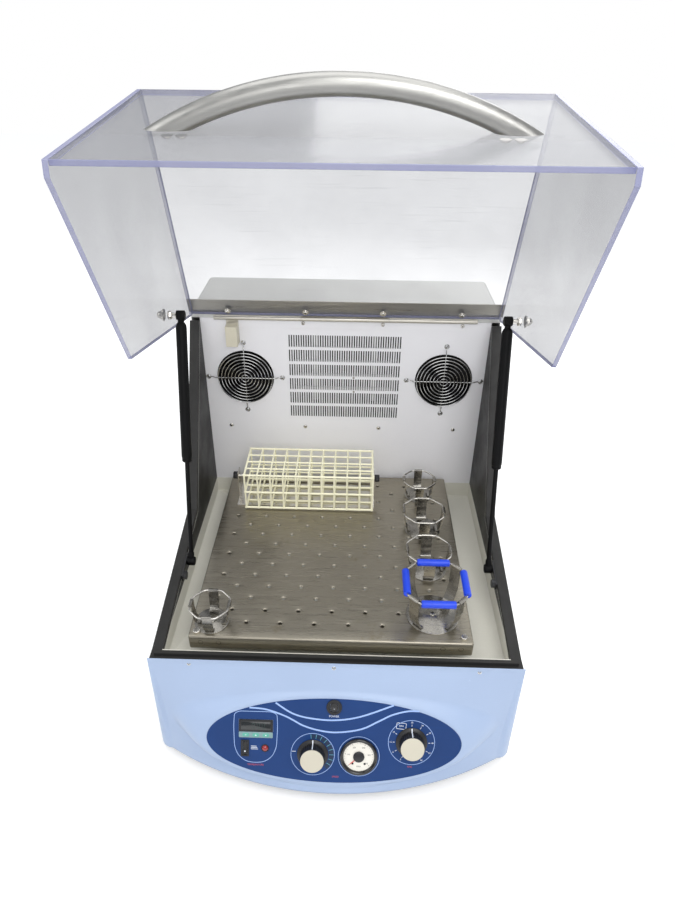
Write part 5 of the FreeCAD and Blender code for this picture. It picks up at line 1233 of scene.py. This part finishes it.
def backdrop():
    """A soft world for the light, white where the camera sees it."""
    world = bpy.data.worlds.new("studio")
    bpy.context.scene.world = world
    world.use_nodes = True
    sky = Tree(world.node_tree)
    sky.tree.nodes.clear()
    soft = sky.add("ShaderNodeBackground", {"Color": (0.93, 0.95, 1.0, 1), "Strength": 0.5})
    white = sky.add("ShaderNodeBackground", {"Color": (1, 1, 1, 1), "Strength": 1.0})
    ray = sky.add("ShaderNodeLightPath").outputs
    seen = sky.combine("MAXIMUM", ray["Is Camera Ray"], ray["Is Transmission Ray"])
    mix = sky.add("ShaderNodeMixShader", {"Fac": seen, 1: soft.outputs[0], 2: white.outputs[0]})
    sky.add("ShaderNodeOutputWorld", {"Surface": mix.outputs[0]})


def floor():
    """A pale floor that keeps the shadow, with painted light turning it white away from the object
    and leaving painted shade near it.
    """
    half = 7.0
    near, far = 0.5, 2.2
    mesh = bpy.data.meshes.new("floor")
    mesh.from_pydata([(-half, -half, 0), (half, -half, 0), (half, half, 0), (-half, half, 0)], [],
                     [(0, 1, 2, 3)])
    f = Finish("floor_white")
    ray = f.add("ShaderNodeLightPath").outputs
    seen = f.combine("MAXIMUM", ray["Is Camera Ray"], ray["Is Glossy Ray"])
    seen = f.combine("MAXIMUM", seen, ray["Is Transmission Ray"])
    reach = f.add("ShaderNodeVectorMath", {0: f.coords}, operation="LENGTH").outputs["Value"]
    # Emission seen by camera, glossy and transmission rays grows with distance from the object:
    # painted light, dimmer near the object as painted shade.
    painted_floor_light = f.span(reach, 0.32, 0.6, near, far)
    mesh.materials.append(f.finish({
        "Base Color": (0.82, 0.82, 0.82, 1), "Roughness": 0.9, "Specular IOR Level": 0.1,
        "Emission Color": (1, 1, 1, 1), "Emission Strength": f.combine("MULTIPLY", seen, painted_floor_light)}))
    placed("floor", mesh)


def lamps():
    for name, at, target, size, power in (
            ("key", (0.7, -1.5, 2.3), (0, 0, 0.4), (1.8, 1.4), 30),
            ("fill", (-1.9, -0.6, 1.7), (0, 0, 0.4), (1.6, 1.6), 15),
            ("top", (0.0, 0.3, 2.7), (0, 0, 0.3), (2.2, 1.8), 22),
            ("back", (0.6, 2.2, 1.6), (0, 0, 0.5), (1.6, 1.4), 16),
            ("right", (2.1, 0.4, 1.2), (0, 0, 0.4), (1.4, 1.4), 10),
            ("front", (0.0, -2.2, 1.35), (0, 0.2, 0.42), (1.6, 1.0), 10)):
        light = bpy.data.lights.new(name, "AREA")
        light.shape = "RECTANGLE"
        light.size, light.size_y = size
        light.energy = power
        placed(name, light, frame_at(at, Vector(at) - Vector(target)))


def camera():
    """The camera that was fitted to the photograph."""
    focal_pixels, photo_height, sensor, yaw = 666.8, 900, 36.0, 0.0045
    lens = bpy.data.cameras.new("camera")
    lens.sensor_width = sensor
    lens.sensor_fit = "AUTO"
    lens.lens = focal_pixels / photo_height * sensor
    lens.clip_start = 0.02
    right = vec(0.9994, 0.0339, 0.0054).normalized()
    ahead = (vec(-0.0256, 0.8413, -0.5399).normalized() + right * yaw).normalized()
    up = right.cross(ahead).normalized()
    turn = Matrix((ahead.cross(up).normalized(), up, -ahead)).transposed().to_4x4()
    bpy.context.scene.camera = placed("camera", lens, shift(0.01796, -0.9983, 1.0635) @ turn)


bezel()
label()
knob("speed_knob_fine", SPEED, "speed_dial", "speed_knob")
knob("time_knob_fine", TIME, "time_dial", "time_knob")
gauge()
display()
rockers()
lid_sheets()
handle()
lid_fittings()
springs()
chamber()
platform()
clamps()
rack()
outside()
drive()
bpy.context.scene.view_settings.view_transform = "Standard"
backdrop()
floor()
lamps()
camera()
